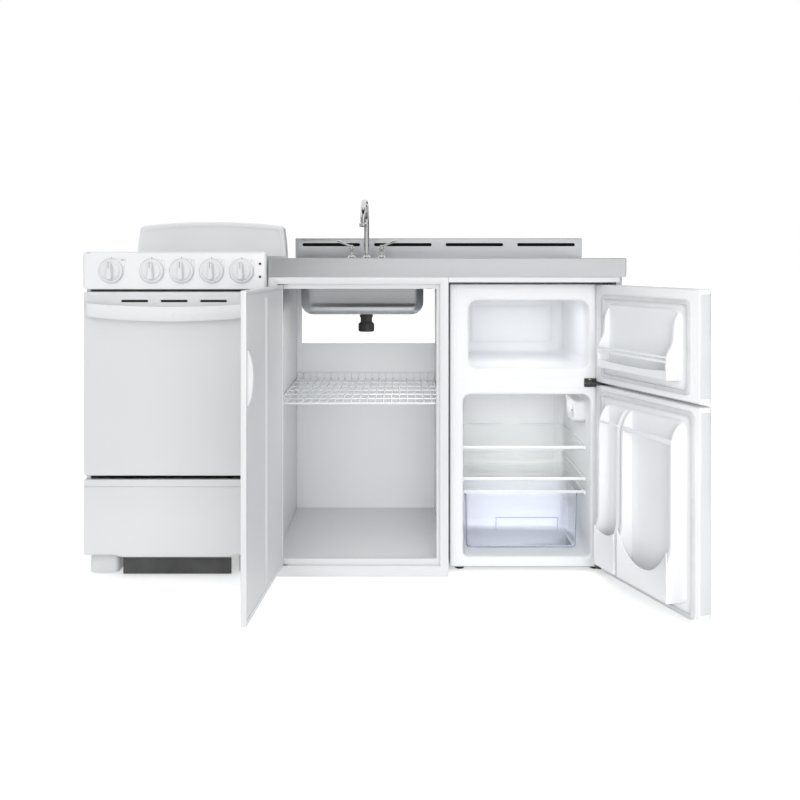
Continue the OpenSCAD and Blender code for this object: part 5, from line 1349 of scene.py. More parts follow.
# The refrigerator

FRIDGE_X, FRIDGE_END, FRIDGE_Y = 272.0, 730.0, -255.0
DOOR_FRONT, DOOR_BACK = -305.0, -262.0
HINGE_AXIS = (716.0, -280.0)
DOOR_TURN = about(HINGE_AXIS, 111)
FRIDGE_DOOR, FREEZER_DOOR = (26.0, 547.0), (555.0, 837.0)
CAVITY_X, CAVITY_END, CAVITY_LOW, CAVITY_TOP = 312.0, 682.0, 42.0, 514.0
FREEZER = (328.0, 678.0, 592.0, 790.0)
RACK_REACH = 55.0


def make_fridge_shell():
    """A folded steel case, open at the front, with a step at its back for the compressor."""
    side = [(FRIDGE_Y, 12), (100, 12), (100, 165), (265, 165), (265, 838), (FRIDGE_Y, 838)]
    case = Shape().loft([[(x, y, z) for y, z in side] for x in (FRIDGE_X, FRIDGE_END)])
    inside = [(FRIDGE_Y - 5, 13.2), (98.8, 13.2), (98.8, 166.2), (263.8, 166.2), (263.8, 836.8),
              (FRIDGE_Y - 5, 836.8)]
    hollow = Shape().loft([[(x, y, z) for y, z in inside] for x in (FRIDGE_X + 1.2, FRIDGE_END - 1.2)])
    piece = to_mesh("fridge_case", case, PAINT, 30)
    bevelled(piece, 3.0, 4)
    cut(piece, hollow)
    put(piece, "unit", ["fridge_shell"])
    base = Shape()
    base.plate("xy", rounded(FRIDGE_X + 1, FRIDGE_END - 1, 98, 264, 4, 3), eased(12, 14.2, 0.4))
    for x in (FRIDGE_X + 0.2, FRIDGE_END - 1.6):
        base.plate("yz", rounded(98, 264.6, 12.2, 166, 6, 4), eased(x, x + 1.4, 0.3))
    make("compressor_base", base, PAINT_GREY, "unit", smooth=30)
    feet = Shape()
    for x in (302.0, 700.0):
        for y in (-225.0, 235.0):
            feet.spin([(11.6, 0), (13.4, 0.8), (13.8, 2.2), (13.8, 7.6), (12.4, 9.2), (5.0, 9.6),
                       (5.0, 12.6)], (x, y, 0), "z", 32)
    make("fridge_feet", feet, BLACK, "unit", smooth=40)


def cavity_outline(low, steps):
    return rounded(CAVITY_X, CAVITY_END, low, CAVITY_TOP, [14, 14, 22, 22], steps)


def make_liner():
    """One vacuum-formed liner: a face with a moulded line, a freezer box and a cavity with a step."""
    face = Shape().plate("xz", rounded(FRIDGE_X + 1.4, FRIDGE_END - 1.4, 13.6, 836.6, 2, 3),
                         along(FRIDGE_Y, [(1.6, 0), (0.4, 0.4), (0, 1.6), (0, 3)]))
    freezer_mouth = rounded(*FREEZER, 26, 10)
    mouth_roll = along(FRIDGE_Y, [(-9.0, 0.0), (-5.2, 0.5), (-2.8, 2.2), (-1.0, 6.0), (0.0, 14.0)])
    through = along(FRIDGE_Y, [(-9.0, -2), (-9.0, 6)])
    mouths = (freezer_mouth, cavity_outline(CAVITY_LOW, 10))
    cutters = [Shape().plate("xz", mouth, through) for mouth in mouths]
    # two grooves part the divider from the freezer's frame and the fridge's, and one goes down the left side
    for x1, z0, z1 in ((FRIDGE_END - 18, 561.7, 563.3), (FRIDGE_END - 18, 534.7, 536.3),
                       (FRIDGE_X + 19.6, 22, 826)):
        cutters.append(Shape().plate("xz", rounded(FRIDGE_X + 18, x1, z0, z1, 0.7, 3),
                                     along(FRIDGE_Y, [(-0.8, -1), (-0.2, 0.2), (0.3, 0.9)])))
    make("liner_face", face, LINER, "unit", ["fridge_liner"], smooth=40, cuts=cutters)

    back = 180.0
    rings = along(back, [(58.0, -4.0), (44.0, -4.0), (41.0, -3.0), (38.0, -0.4), (35.0, 0), (24.0, 0)])
    rings += [(24.0 - 20.0 * sin(a), back - 20.0 * (1 - cos(a))) for a in quarter(6)]
    rings += [(1.6, 0.0)] + mouth_roll[::-1] + along(FRIDGE_Y, [(-9.2, 1.0), (-7.0, 1.4)])
    rings += [(-2.0, -230.0), (-2.0, back + 3.0)]
    make("freezer_box", Shape().plate("xz", freezer_mouth, rings), LINER, "unit", smooth=50)

    # the fridge's cavity: its low edge rises behind to clear the compressor
    step, step_top, deep = 70.0, 200.0, 190.0
    rows = [(inset, depth, CAVITY_LOW) for inset, depth in mouth_roll + [(0.0, step - 14)]]
    rows += [(0.0, step - 14 + 14 * sin(a), CAVITY_LOW + 14 * (1 - cos(a))) for a in quarter(4)]
    rows.append((0.0, step, step_top - 12))
    rows += [(0.0, step + 12 * (1 - cos(a)), step_top - 12 + 12 * sin(a)) for a in quarter(4)]
    rows.append((0.0, deep - 18, step_top))
    rows += [(18 * (1 - cos(a)), deep - 18 + 18 * sin(a), step_top) for a in quarter(5)]
    rows += [(30.0, deep, step_top), (31.5, deep - 2.0, step_top), (44.0, deep - 2.0, step_top)]
    outer = [(-2.2, deep + 2.5, step_top), (-2.2, step + 12, step_top), (-2.2, step + 2, step_top - 12),
             (-2.2, step + 2, CAVITY_LOW), (-2.2, -230.0, CAVITY_LOW), (-7.0, FRIDGE_Y + 1.4, CAVITY_LOW),
             (-9.2, FRIDGE_Y + 1.0, CAVITY_LOW)]
    rings = [laid("xz", cavity_outline(low, 8)(inset), depth) for inset, depth,
             low in rows[::-1] + outer[::-1]]
    make("fridge_cavity", Shape().loft(rings), LINER, "unit", smooth=50)

    ledges = Shape()
    for a, b in ((CAVITY_X - 1, CAVITY_X + 7.6), (CAVITY_END - 7.6, CAVITY_END + 1)):
        for top in (347.6, 254.6, 214.6):
            ledges.plate("xy", rounded(a, b, -196, 186, 3.4, 5),
                         along(top, [(2.4, -7.4), (0.8, -6.2), (0, -4.4), (0, -0.8), (0.8, 0)]))
    make("shelf_ledges", ledges, LINER, "unit", smooth=50)


def gasket_ring(x0, x1, z0, z1):
    """A grey-white gasket with a soft bellows section, round the moulded inside of a door."""
    section = [(0.0, 0.4), (0.6, 0.0), (11.2, 0.0), (11.8, 0.6), (11.4, 2.4), (9.6, 3.0), (9.6, 3.6),
               (11.6, 4.2), (12.0, 5.2), (11.2, 6.2), (1.0, 6.2), (0.0, 5.2), (0.6, 4.2), (2.2, 3.6),
               (2.2, 3.0), (0.3, 2.2)]
    return Shape().plate("xz", rounded(x0 - 20, x1 + 14, z0 - 16, z1 + 16, 18, 8),
                         along(DOOR_BACK, section), loop=True)


def smooth_line(points, steps=5):
    """A line through (depth, height) points; a corner is rounded over its third number, or over 6 mm."""
    line = [points[0]]
    for before, point, after in zip(points, points[1:], points[2:]):
        reach = point[2] if len(point) > 2 else 6.0
        ends = []
        for other in (before, after):
            dx, dy = other[0] - point[0], other[1] - point[1]
            length = hypot(dx, dy)
            share = min(reach, length * 0.48) / length
            ends.append((point[0] + dx * share, point[1] + dy * share))
        for t in (k / steps for k in range(steps + 1)):
            line.append([(1 - t) ** 2 * a + 2 * t * (1 - t) * b + t * t * c for a, b,
                         c in zip(ends[0], point, ends[1])])
    return [(point[0], point[1]) for point in line + [points[-1]]]


def tall_cheek(low, high, reach):
    """(depth, height) outline of a rack's cheek: deep at its tray, an S up to a plateau, a round top."""
    return smooth_line([(-1.0, low), (reach * 0.97, low, 16), (reach, low + 40, 10), (reach, low + 92, 16),
                        (reach * 0.74, low + 128, 16), (reach * 0.72, high - 40, 30),
                        (reach * 0.30, high, 34), (-1.0, high)])


def short_cheek(low, high, reach):
    return smooth_line([(-1.0, low), (reach, low, 10), (reach, low + 62, 16), (reach * 0.52, low + 92, 16),
                        (reach * 0.46, high - 28, 18), (reach * 0.16, high, 22), (-1.0, high)])


def walls(shape, x0, x1, outline):
    """A moulded wall of that (depth, height) outline between x0 and x1, its edges softened."""
    middle = (sum(p[0] for p in outline) / len(outline), sum(p[1] for p in outline) / len(outline))
    rings = []
    for x, shrink in ((x0, 1.2), (x0 + 0.4, 0.35), (x0 + 1.3, 0.0), (x1 - 1.3, 0.0), (x1 - 0.4, 0.35),
                      (x1, 1.2)):
        ring = []
        for depth, height in outline:
            if depth > 0:
                away = (middle[0] - depth, middle[1] - height)
                far = hypot(*away) or 1.0
                depth, height = depth + away[0] / far * shrink, height + away[1] / far * shrink
            ring.append((x, DOOR_BACK + depth, height))
        rings.append(ring)
    shape.loft(rings)


def tray_front(shape, x0, x1, reach, low, edge_height, dip):
    """A tray's retaining front whose top edge dips in a curve between its cheeks."""
    steps = 16
    rings = []
    for u in (k / steps for k in range(steps + 1)):
        top = low + edge_height - dip * (1 - abs(2 * u - 1) ** 2.4)
        edge = [(0.0, -1.4), (-0.5, -0.3), (-1.7, 0), (-2.9, -0.3), (-3.4, -1.4)]
        ring = [(0.0, low + 4)] + along(top, edge) + [(-3.4, low + 4)]
        rings.append([(x0 + u * (x1 - x0), DOOR_BACK + reach + y, z) for y, z in ring])
    shape.loft(rings)


def make_fridge_door(label, z_low, z_high):
    """The outer door: a rolled skin with a round free edge and moulded caps at top and bottom."""
    cap = 13.0
    outline = rounded(FRIDGE_X + 0.8, FRIDGE_END - 0.8, DOOR_FRONT + 0.8, DOOR_BACK - 3.2,
                      [15.0, 9.0, 1.5, 4.0], 9)
    ends = along(z_low + cap, [(0.8, -2), (0.0, -1)]) + along(z_high - cap, [(0.0, 1), (0.8, 2)])
    skin = Shape().plate("xy", outline, ends)
    make(label + "_skin", skin.moved(DOOR_TURN), PAINT, label, [label + "_skin"], smooth=40)
    caps = Shape()
    outline = rounded(FRIDGE_X, FRIDGE_END, DOOR_FRONT, DOOR_BACK - 2.8, [15.6, 9.6, 2, 4.6], 9)
    for a, b in ((z_low, z_low + cap), (z_high - cap, z_high)):
        caps.plate("xy", outline, [(2.0, a), (0.6, a + 0.5), (0.0, a + 1.8), (0.0, b - 1.8), (0.6, b - 0.5),
                                   (2.0, b)])
    make(label + "_caps", caps.moved(DOOR_TURN), LINER, label, smooth=40)


def door_moulding(door, field, rise):
    """A door's inner panel with a raised field on it."""
    panel = Shape().plate("xz", rounded(FRIDGE_X + 2, FRIDGE_END - 2, door[0] + 2, door[1] - 2, 4, 4),
                          along(DOOR_BACK, [(0.4, -3.4), (0, -2.6), (0, -1.2), (1.2, 0)]))
    return panel.plate("xz", field, along(DOOR_BACK, rise))


def tray_floor(low, reach):
    return smooth_line([(-1.0, low), (reach * 0.97, low, 8), (reach, low + 6, 3), (reach - 3.4, low + 6, 2),
                        (reach - 6.0, low + 4, 2), (-1.0, low + 4)])


def make_fridge_door_inside():
    low, high = CAVITY_LOW + 12, CAVITY_TOP - 14
    # a raised field that fills the cavity's mouth
    panel = door_moulding(FRIDGE_DOOR, rounded(324, 668, low - 2, high + 4, 20, 8),
                          [(-6, -0.4), (-2.6, 0.6), (-0.6, 2.6), (0.4, 6.0), (2.0, 8.4), (5.0, 9.4),
                           (9.0, 9.6)])
    outline = tall_cheek(low, high, RACK_REACH)
    for x0, x1 in ((330, 337), (538, 545), (560, 566.5), (649.5, 656)):
        walls(panel, x0, x1, outline)
    for x0, x1 in ((331, 544), (561, 655)):
        walls(panel, x0, x1, tray_floor(low, RACK_REACH))
    tray_front(panel, 332, 543, RACK_REACH - 0.4, low, 128, 70)
    tray_front(panel, 562, 654, RACK_REACH - 0.4, low, 112, 14)
    near, far = RACK_REACH * 0.66, RACK_REACH * 0.72 - 0.4
    for x0, x1, z, tall in ((332, 543, high - 52, 12), (562, 654, high - 46, 6)):
        walls(panel, x0, x1, smooth_line([(near, z), (far, z, 2), (far, z + tall, 2), (near, z + tall)]))
    make("fridge_door_moulding", panel.moved(DOOR_TURN), LINER, "fridge_door", ["fridge_door_liner"],
         smooth=46)
    ring = gasket_ring(CAVITY_X - 4, CAVITY_END + 2, CAVITY_LOW - 6, CAVITY_TOP + 4)
    make("fridge_door_gasket", ring.moved(DOOR_TURN), GASKET, "fridge_door", smooth=50)


def make_freezer_door_inside():
    low, high = FREEZER[2] + 14, FREEZER[3] - 12
    reach = RACK_REACH * 0.8
    panel = door_moulding(FREEZER_DOOR, rounded(338, 664, low - 4, high + 5, 22, 8),
                          [(-5, -0.4), (-2.2, 0.6), (-0.4, 2.6), (0.6, 5.0), (2.4, 6.8), (6.0, 7.4)])
    outline = short_cheek(low, high, reach)
    for x0, x1 in ((344, 351), (649, 656)):
        walls(panel, x0, x1, outline)
    walls(panel, 345, 655, tray_floor(low, reach))
    tray_front(panel, 346, 654, reach - 0.4, low, 26, 6)
    for z, tall in ((low + 44, 7), (low + 56, 5)):
        bar = smooth_line([(reach - 4.4, z), (reach - 0.4, z, 1.6), (reach - 0.4, z + tall, 1.6),
                           (reach - 4.4, z + tall)])
        walls(panel, 346, 654, bar)
    make("freezer_door_moulding", panel.moved(DOOR_TURN), LINER, "freezer_door", ["freezer_door_liner"],
         smooth=46)
    ring = gasket_ring(FREEZER[0] - 4, FREEZER[1] + 2, FREEZER[2] - 4, FREEZER[3] + 4)
    make("freezer_door_gasket", ring.moved(DOOR_TURN), GASKET, "freezer_door", smooth=50)


def cross_head(shape, centre, axis, radius, height):
    """A flat, domed screw head that looks along the axis."""
    dome = [(radius, 0), (radius, height * 0.4), (radius * 0.86, height * 0.78),
            (radius * 0.5, height * 0.97), (0.01, height)]
    degrees = {"-y": 90, "z": 0, "y": -90}[axis]
    shape.join(Shape().spin(dome, (0, 0, 0), "z", 20).moved(turned_at(centre, degrees, "X")))


def make_hinges():
    """Three dark hinge plates with pins; the middle one has a leaf with two bright screws."""
    plates = Shape()
    for z0, z1, x0, y1 in ((16.0, 20.0, 694.0, -255.0), (549.0, 553.0, 664.0, -255.0),
                           (838.0, 841.8, 694.0, -215.0)):
        plates.plate("xy", rounded(x0, 729.6, -290, y1, [9, 9, 1, 1], 6), eased(z0, z1, 0.6))
    plates.plate("xz", rounded(664.2, 728.6, 537.2, 562.8, 2.4, 4),
                 [(0.5, -256.7), (0, -256.3), (0, -255.1)])
    for low, high in ((19, 38), (535, 567), (824, 840)):
        plates.spin([(3.2, low), (4.0, low + 1), (4.0, high - 1), (3.2, high)], (*HINGE_AXIS, 0), "z", 28)
    make("fridge_hinge_plates", plates, HINGE_DARK, "unit", ["fridge_hinges"], smooth=35)
    screws = Shape()
    for x in (681.0, 714.0):
        cross_head(screws, (x, -256.7, 557.5), "-y", 4.2, 0.7)
    for x in (704.0, 719.0):
        cross_head(screws, (x, -235.0, 841.8), "z", 4.0, 0.2)
    make("fridge_hinge_screws", screws, CHROME, "unit", smooth=35)


def make_glass_shelf(node, top):
    """A glass shelf with ground edges in a moulded front trim and two back clips."""
    x0, x1, low = CAVITY_X + 2.2, CAVITY_END - 2.2, top - 4.0
    ground = along(low, [(0.7, 0), (0.1, 0.6), (0, 1)]) + along(top, [(0, -1), (0.1, -0.6), (0.7, 0)])
    pane = Shape().plate("xy", rounded(x0, x1, -197.6, 183.8, 4, 5), ground)
    make(node + "_glass", pane, GLASS, node, [node], smooth=40)
    front = [(-196.0, top + 0.15), (-202.0, top + 2.8, 2.4), (-204.0, top - 1.0, 2),
             (-203.4, low - 2.6, 2.4), (-196.0, low - 2.8, 2),
             (-195.4, low - 0.15, 1), (-200.0, low - 0.15, 0.5), (-200.0, top + 0.15, 0.5)]
    clip = [(178.0, top + 0.15), (184.0, top + 2.6), (184.0, low - 2.6), (178.0, low - 0.15)]
    trim = Shape()
    for outline, ends in ((smooth_line(front, 4), (x0, x1)), (smooth_line(clip, 3), (x0 + 52, x0 + 160)),
                          (smooth_line(clip, 3), (x1 - 150, x1 - 40))):
        trim.loft([[(x, y, z) for y, z in outline] for x in ends])
    make(node + "_trim", trim, LINER, node, smooth=40)


def make_crisper():
    """A clear bin with leaning sides, a rolled rim and a pull recess in its front, and its glass lid."""
    x0, x1, y0, y1, z0, z1 = 320.3, 657.7, -199.7, 57.7, 48.2, 209.8
    wall, lean = 2.3, 5.0
    inner = [(lean + wall + 9, z0 + wall), (lean + wall + 3, z0 + wall + 2.6), (lean + wall, z0 + wall + 8),
             (wall + 1.0, z1 - 12), (wall, z1 - 3), (1.4, z1 - 0.3)]
    outer = [(0.5, z1), (0.0, z1 - 0.7), (0.0, z1 - 5.0), (1.0, z1 - 6.2), (lean, z0 + 8),
             (lean + 3, z0 + 2.4), (lean + 9, z0)]
    bin_shape = Shape().plate("xy", rounded(x0, x1, y0, y1, 14, 8), inner + outer)
    make("crisper_bin", bin_shape, CRISPER, "crisper", ["crisper"], smooth=50)
    # opaque blue rods on the bin's edges and pull recess: painted light standing in for how the clear
    # plastic's edges look
    edges = Shape()
    front = y0 + 1.0
    edges.tube(bend_path([(x0 + 1.4, front + 0.6, z1 - 20), (x0 + lean + 2.0, front + lean - 2.6, z0 + 14),
                          (x0 + lean + 10, front + lean - 1, z0 + 1.6),
                          (x1 - lean - 10, front + lean - 1, z0 + 1.6)], 8, 5), 0.9, 8)
    left, right = 505.0 - 92.0, 505.0 + 92.0
    for x in (left, right):
        edges.tube([(x, front + 1.4, 140), (x, front + 3.2, 98)], 0.9, 8)
    edges.tube([(left, front + 1.2, 139.5), (right, front + 1.2, 139.5)], 0.9, 8)
    make("crisper_edges", edges, EDGE_BLUE, "crisper", smooth=50)
    x0, x1 = CAVITY_X + 2.2, CAVITY_END - 2.2
    cover = Shape().plate("xy", rounded(x0, x1, -193.8, 183.8, 4, 5), eased(215.1, 218.9, 0.7))
    make("crisper_lid_glass", cover, GLASS, "unit", ["crisper_cover"], smooth=40)
    trim = Shape().plate("xy", rounded(x0, x1, -196.6, -192.6, 1.2, 3), eased(213.4, 220.2, 0.6))
    make("crisper_lid_trim", trim, LINER, "unit", smooth=40)


def make_thermostat():
    """The control box on the cavity's wall, with a round nose, lamp ribs and a ridged dial."""
    low, high = low_high("thermostat_housing")
    nose = smooth_line([(low[1] + 0.3, low[2] + 10, 8), (low[1] + 0.3, high[2] - 0.3, 12),
                        (high[1] - 0.3, high[2] - 0.3, 3),
                        (high[1] - 0.3, low[2] + 18, 12), (high[1] - 26, low[2] + 0.3, 14),
                        (low[1] + 12, low[2] + 0.3, 12)], 6)
    cy, cz = (low[1] + high[1]) / 2, (low[2] + high[2]) / 2
    nose_depths = ((low[0] + 0.2, 0.94), (low[0] + 1.0, 0.97), (low[0] + 3.0, 0.99), (low[0] + 7.0, 1.0),
                   (high[0] + 1.0, 1.0))
    box = Shape().loft([[(x, cy + (y - cy) * shrink, cz + (z - cz) * shrink) for y, z in nose] for x,
                        shrink in nose_depths])
    for k in range(7):
        y = low[1] + 66 + 9 * k
        box.plate("yz", rounded(y, y + 4, low[2] + 14, high[2] - 12, 1.9, 4),
                  along(low[0], [(0.0, 1.5), (0.0, 0.2), (0.9, -0.4)]))
    make("thermostat_box", box, KNOB, "unit", ["thermostat_housing"], smooth=40)
    low, high = low_high("thermostat_knob")
    y, z = (low[1] + high[1]) / 2, (low[2] + high[2]) / 2
    dial = Shape().spin([(0.01, 641.3), (12.8, 641.3), (14.0, 642.0), (14.4, 643.4), (14.4, 648.0),
                         (13.8, 649.2), (5.0, 649.4),
                         (5.0, 652.0)], (0, y, z), "x", 48)
    for k in range(30):
        rib = Shape().block((642.6, 14.0, -0.55), (648.6, 14.8, 0.55))
        dial.join(rib.moved(turned_at((0, y, z), 12 * k, "X")))
    dial.block((641.0, y - 2.0, z - 12.6), (642.0, y + 2.0, z + 12.6))
    make("thermostat_dial", dial, KNOB, "thermostat_knob", ["thermostat_knob"], smooth=35)
    marks = Shape().block((640.85, y - 0.9, z + 3.5), (641.1, y + 0.9, z + 12.0))
    marks.block((643.0, y - 15.0, z - 1.0), (648.4, y - 14.3, z + 1.0))
    make("thermostat_mark", marks, BLACK, "thermostat_knob", smooth=35)


make_fridge_shell()
make_liner()
make_fridge_door("fridge_door", *FRIDGE_DOOR)
make_fridge_door("freezer_door", *FREEZER_DOOR)
make_fridge_door_inside()
make_freezer_door_inside()
make_hinges()
make_glass_shelf("upper_shelf", 352.0)
make_glass_shelf("lower_shelf", 259.0)
make_crisper()
make_thermostat()


# The hob, the casing and what shows from the sides and the back

HOB_TOP = 916.0


def coil_places():
    """Middles and radii of the four coils, from the frame's own boxes."""
    low, high = low_high("drip_bowls")
    left, right, front, back = low[0] + 103.0, high[0] - 83.0, low[1] + 103.0, high[1] - 83.0
    large, small = 92.0, 72.0
    return ((left, front, large), (right, front, small), (left, back, small), (right, back, small))


def make_hob():
    """The lift-up top: a pressed sheet with a spill rim, a soft edge and four wells."""
    low, high = low_high("cooktop")
    outline = rounded(low[0], high[0], low[1], high[1], [12, 12, 5, 5], 8)
    profile = [(1.2, 902.4), (0.2, 903.2), (0.0, 904.4), (0.0, 918.2), (0.7, 920.0), (2.2, 920.9),
               (4.4, 920.4), (6.4, 918.2),
               (8.4, 916.6), (12.0, HOB_TOP), (16.0, HOB_TOP)]
    wells = []
    for x, y, r in coil_places():
        well = [(r + 4, 895), (r + 4, 912), (r + 4.6, 914.6)]
        well += along(HOB_TOP, [(r + 6.4, -0.2), (r + 9, 0.01), (r + 9, 4)])
        wells.append(Shape().spin(well, (x, y, 0), "z", 72))
    make("hob_top", Shape().plate("xy", outline, profile), PAINT, "cooktop", ["cooktop"], smooth=35,
         cuts=wells)


def make_drip_bowls():
    bowls = Shape()
    for x, y, r in coil_places():
        profile = [(20.4, 890.6), (22.0, 890.2)]
        profile += [(r + out, z) for out, z in (
            (-26, 890.4), (-22, 892.4), (-3, 911.0), (1, 914.4), (3, 916.3), (9, 916.3), (10.6, 916.9),
            (10.8, 917.7), (9.6, 918.3),
            (5.6, 918.1), (2.6, 917.4), (-0.4, 914.6), (-5.0, 911.4), (-24, 894.0), (-28, 892.2))]
        profile += [(24.0, 891.8), (20.4, 892.2)]
        bowls.spin(profile + profile[:1], (x, y, 0), "z", 80, NO_CAPS)
    make("hob_drip_bowls", bowls, CHROME, "cooktop", ["drip_bowls"], smooth=45)


def make_coils():
    """Flat-topped sheathed coils of half turns about two middles, on three-armed supports."""
    coils, arms = Shape(), Shape()
    tube, pitch, first, z, steps = 3.4, 6.0, 14.0, 922.0, 24
    for cx, cy, r in coil_places():
        halves = int((r - 3.5 - first - pitch) / pitch)
        path = []
        for i in range(halves + 1):
            radius, middle, start = first + i * pitch, *((0.0, 0.0) if i % 2 == 0 else (pitch, pi))
            for k in range(steps):
                a = pi * k / steps + start
                path.append((cx + middle + radius * cos(a), cy + radius * sin(a), z))
        last = first + halves * pitch
        path.append((cx + (-last if halves % 2 == 0 else pitch + last), cy, z))
        path = [(*path[0][:2], z - 7)] + path + [(*path[-1][:2], z - 7)]
        coil = Shape().tube(path, tube, 12)
        # the tops are ground flat, to sit against a pan
        coil.points = [(x, y, min(pz, z + 2.6)) for x, y, pz in coil.points]
        coils.join(coil)
        for a in (90, 210, 330):
            arm = Shape().loft([[(x, -1, low), (x, 1, low), (x, 1, -3.2), (x, -1, -3.2)]
                                for x, low in ((0, -8.3), (r - 8, -8.3), (r - 4, -5.0))])
            arms.join(arm.moved(turned_at((cx, cy, z), a)))
        hub = [(0.01, 3.4), (9.6, 3.4), (10.4, 4.0), (10.4, 5.6), (9.6, 6.2), (0.01, 6.2)]
        arms.spin(along(z, hub, -1), (cx, cy, 0), "z", 32)
    make("hob_coils", coils, HEATER, "cooktop", ["coil_elements"], smooth=50)
    make("hob_coil_arms", arms, RACK, "cooktop", smooth=35)


def make_casing():
    """Side sheets with soft front edges, a pressed back sheet, and the decks between them."""
    casing = Shape()
    front, low, top = -294.0, 62.0, 912.0
    side = [(1.2, 0), (0.3, 0.3), (0.0, 0.9), (0.0, 13.0), (1.1, 13.0), (1.1, 1.1)]
    for x, way in ((RANGE_X, 1), (RANGE_END, -1)):
        casing.plate("yz", rounded(front, 249.0, low, top, 3, 4), along(x, side, way))
    casing.plate("xz", rounded(RANGE_X + 1.2, RANGE_END - 1.2, low + 1, top - 0.4, 1, 2),
                 [(0.6, 246.0), (0.0, 246.6), (0.0, 248.4), (0.5, 248.9)])
    deck = rounded(RANGE_X + 1.2, RANGE_END - 1.2, front + 0.6, 246.2, 2, 3)
    for z in (62.4, 288.0, 830.0):
        casing.plate("xy", deck, along(z, [(0.2, 0), (0.0, 0.3), (0.0, 1.2), (0.2, 1.4)]))
    vent = Shape().plate("xz", rounded(-595, -435, 640, 760, 3, 3), [(0, 240), (0, 255)])
    make("range_side_sheets", casing, PAINT, "unit", ["range_casing"], smooth=30, cuts=[vent])


def louvre_tree():
    """A grid of pressed louvres: one hooded slot copied in rows and columns."""
    tree, node, given = new_tree("louvres", {
        "Columns": ("Int", 4), "Rows": ("Int", 6), "Column Gap": ("Float", 0.06),
        "Row Gap": ("Float", 0.016),
        "Size": ("Vector", (0.05, 0.003, 0.006))})
    hood = node("GeometryNodeMeshUVSphere", {"Segments": 20, "Rings": 10, "Radius": 0.5}).outputs[0]
    shaped = node("GeometryNodeTransform", {"Geometry": hood, "Scale": given["Size"]}).outputs[0]
    across = node("ShaderNodeCombineXYZ", {0: given["Column Gap"]}).outputs[0]
    up = node("ShaderNodeCombineXYZ", {2: given["Row Gap"]}).outputs[0]
    row = spread(node, given["Columns"], across, shaped)
    finished(node, given, spread(node, given["Rows"], up, row))
    return tree


def make_louvres():
    tree = louvre_tree()
    for name, low in (("range_back_louvres", 0.16), ("range_back_louvres_high", 0.80)):
        grown(name, tree, {"Start": [-0.695, 0.249, low], "Columns": 6, "Rows": 5, "Column Gap": 0.072,
                           "Row Gap": 0.015,
                           "Size": [0.056, 0.005, 0.007], "Material": PAINT})


def make_range_rear():
    """The cable box on the back with its strain relief and screws."""
    low, high = low_high("range_rear_cover")
    box = Shape().plate("xz", rounded(low[0], high[0], low[2], high[2], 5, 4),
                        [(0.0, low[1] + 0.1)] + along(high[1], [(0.0, -2.6), (0.7, -1.0), (2.4, -0.1)]))
    for x in (low[0] + 14, high[0] - 14):
        for z in (low[2] + 14, high[2] - 14):
            cross_head(box, (x, high[1] - 0.1, z), "y", 4.0, 0.1)
    make("range_cable_cover", box, ZINC, "unit", ["range_rear_cover"], smooth=35)
    place = ((low[0] + high[0]) / 2 + 45, (low[1] + high[1]) / 2, low[2] - 8.0)
    grip = Shape().spin([(14.2, -0.4), (17.4, 0.0), (18.0, 0.8), (18.0, 6.0), (16.6, 8.0), (14.2, 8.0)],
                        (0, 0, 0), "z", 40, NO_CAPS)
    grip.spin([(14.0, -0.4), (14.0, 8.0)], (0, 0, 0), "z", 40, NO_CAPS)
    make("range_cable_bush", grip.moved(Matrix.Translation(place)), BLACK, "unit", smooth=40)


def condenser_tree():
    """A row of thin upright wires, welded over the condenser's pipe."""
    tree, node, given = new_tree("condenser_wires", {
        "Width": ("Float", 0.37), "Height": ("Float", 0.45), "Wires": ("Int", 40),
        "Wire Radius": ("Float", 0.0008)})
    top = node("ShaderNodeCombineXYZ", {2: given["Height"]}).outputs[0]
    line = node("GeometryNodeCurvePrimitiveLine", {"Start": (0, 0, 0), "End": top}).outputs[0]
    gap = gap_for(node, given["Width"], given["Wires"], 0)
    finished(node, given, spread(node, given["Wires"], gap, rod(node, line, given["Wire Radius"], 8)))
    return tree


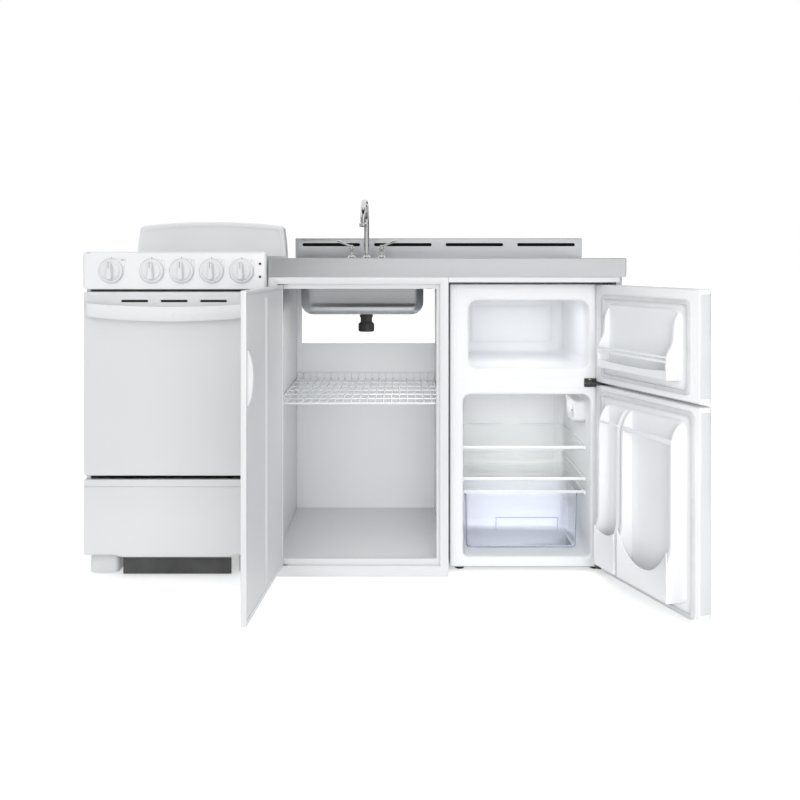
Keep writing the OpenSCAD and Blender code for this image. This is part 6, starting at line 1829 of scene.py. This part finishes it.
def make_cooling_unit():
    """A domed compressor on rubber feet, its pipe, and the condenser with its wires and brackets."""
    px, py, lift, foot_reach = 592.0, 182.5, 11, 50
    dome = [(0.01, 13.0), (44, 13.0), (50, 15.5), (53, 21), (54.6, 34), (54.6, 62), (56.0, 63.0),
            (56.0, 66.0), (54.6, 67.0),
            (54.0, 88), (50.0, 104), (41.0, 117), (26, 124), (10, 126.0), (0.01, 126.0)]
    machine = Shape().spin(along(lift, dome), (px, py, 0), "z", 64)
    rubber_foot = [(6.8, 14.2), (7.4, 15.0), (6.4, 18.0), (7.2, 21.0), (5.0, 25.0)]
    for k in range(4):
        a = radians(45 + 90 * k)
        machine.spin(rubber_foot, (px + foot_reach * cos(a), py + foot_reach * sin(a), 0), "z", 20)
    machine.plate("xz", rounded(px - 34, px + 18, 52, 108, 6, 4),
                  [(2.0, 250.0), (0.4, 248.6), (0.0, 246.0), (0.0, 226.0)])
    # the pipe goes to and fro across the back, and its tail comes from the compressor
    x0, x1, pipe_y, first, gap = 312.0, 690.0, 274.0, 235.0, 62.0
    points = []
    for i in range(8):
        ends = [x0 + 3, x1 - 3] if i % 2 == 0 else [x1 - 3, x0 + 3]
        points += [(x, pipe_y, first + gap * i) for x in ends]
    machine.tube(bend_path(points, 18, 6), 2.5, 10)
    tail = [(px + 40, py, 150), (px + 70, py + 10, 176), (x0 + 303, 262, 200), (x0 + 3, pipe_y, 226)]
    machine.tube(bend_path(tail, 14, 6), 2.4, 10)
    for x in (x0 + 50, x1 - 50):
        for z in (first, first + 7 * gap):
            machine.spin([(4.0, 264.8), (4.0, 272.0), (3.2, 275.5)], (x, 0, z), "y", 16)
    make("fridge_compressor", machine, MACHINE, "unit", ["cooling_unit"], smooth=45)
    grown("condenser_wires", condenser_tree(), {
        "Start": [(x0 + 10) / 1000, 0.2772, 0.222], "Width": (x1 - x0 - 20) / 1000, "Height": 0.455,
        "Wires": 44,
        "Wire Radius": 0.0008, "Material": MACHINE})


def make_strainer():
    """The lift-out basket in the drain, with its knob."""
    low, high = low_high("strainer_basket")
    rim = low[2] + 14.0
    basket = [(0.01, -14), (10.4, -14), (11.8, -12.6), (12.0, -1), (13.0, 0.1), (25.4, 0.1), (26.0, 0.7),
              (25.4, 1.5), (13.4, 1.5),
              (11.0, 0.4), (10.4, -11.4), (9.6, -12.4), (3.1, -12.5), (2.9, 10.6), (4.6, 11.8), (6.0, 13.0),
              (6.2, 14.4),
              (5.2, 15.8), (0.01, 16.0)]
    middle = ((low[0] + high[0]) / 2, (low[1] + high[1]) / 2, 0)
    make("sink_strainer", Shape().spin(along(rim, basket), middle, "z", 48), CHROME, "strainer_basket",
         ["strainer_basket"], smooth=45)


def make_oven_gap_shade():
    """A dark grey strip shaped like a seal, in the gap between the control panel and the oven door: painted
    shade of that gap.
    """
    left, right = RANGE_X + 8, RANGE_END - 8
    strip = Shape().plate("xz", rounded(left, right, 819.2, 829.4, 1, 2),
                          [(0.6, -291.6), (0, -291.0), (0, -285.0)])
    strip.tube([(left + 2, -292.0, 822.6), (right - 2, -292.0, 822.6)], 1.5, 10)
    make("oven_throat_painted_shade", strip, GASKET_GREY, "unit", smooth=40)


def make_under_drawer_shade():
    """A black sheet under the drawer, set back between the front legs: painted shade of the dark space under
    the range.
    """
    toe_shade = Shape().plate("xz", rounded(RANGE_MID - 156, RANGE_MID + 156, 4.0, 51.0, 2, 3),
                         [(0.6, -292.0), (0, -291.4), (0, -289.0), (1.2, -288.6)])
    make("range_toe_painted_shade", toe_shade, HINGE_DARK, "unit", smooth=35, bevel=0.3)


make_oven_gap_shade()
make_under_drawer_shade()
make_hob()
make_drip_bowls()
make_coils()
make_casing()
make_louvres()
make_range_rear()
make_cooling_unit()
make_strainer()


bpy.context.view_layer.update()
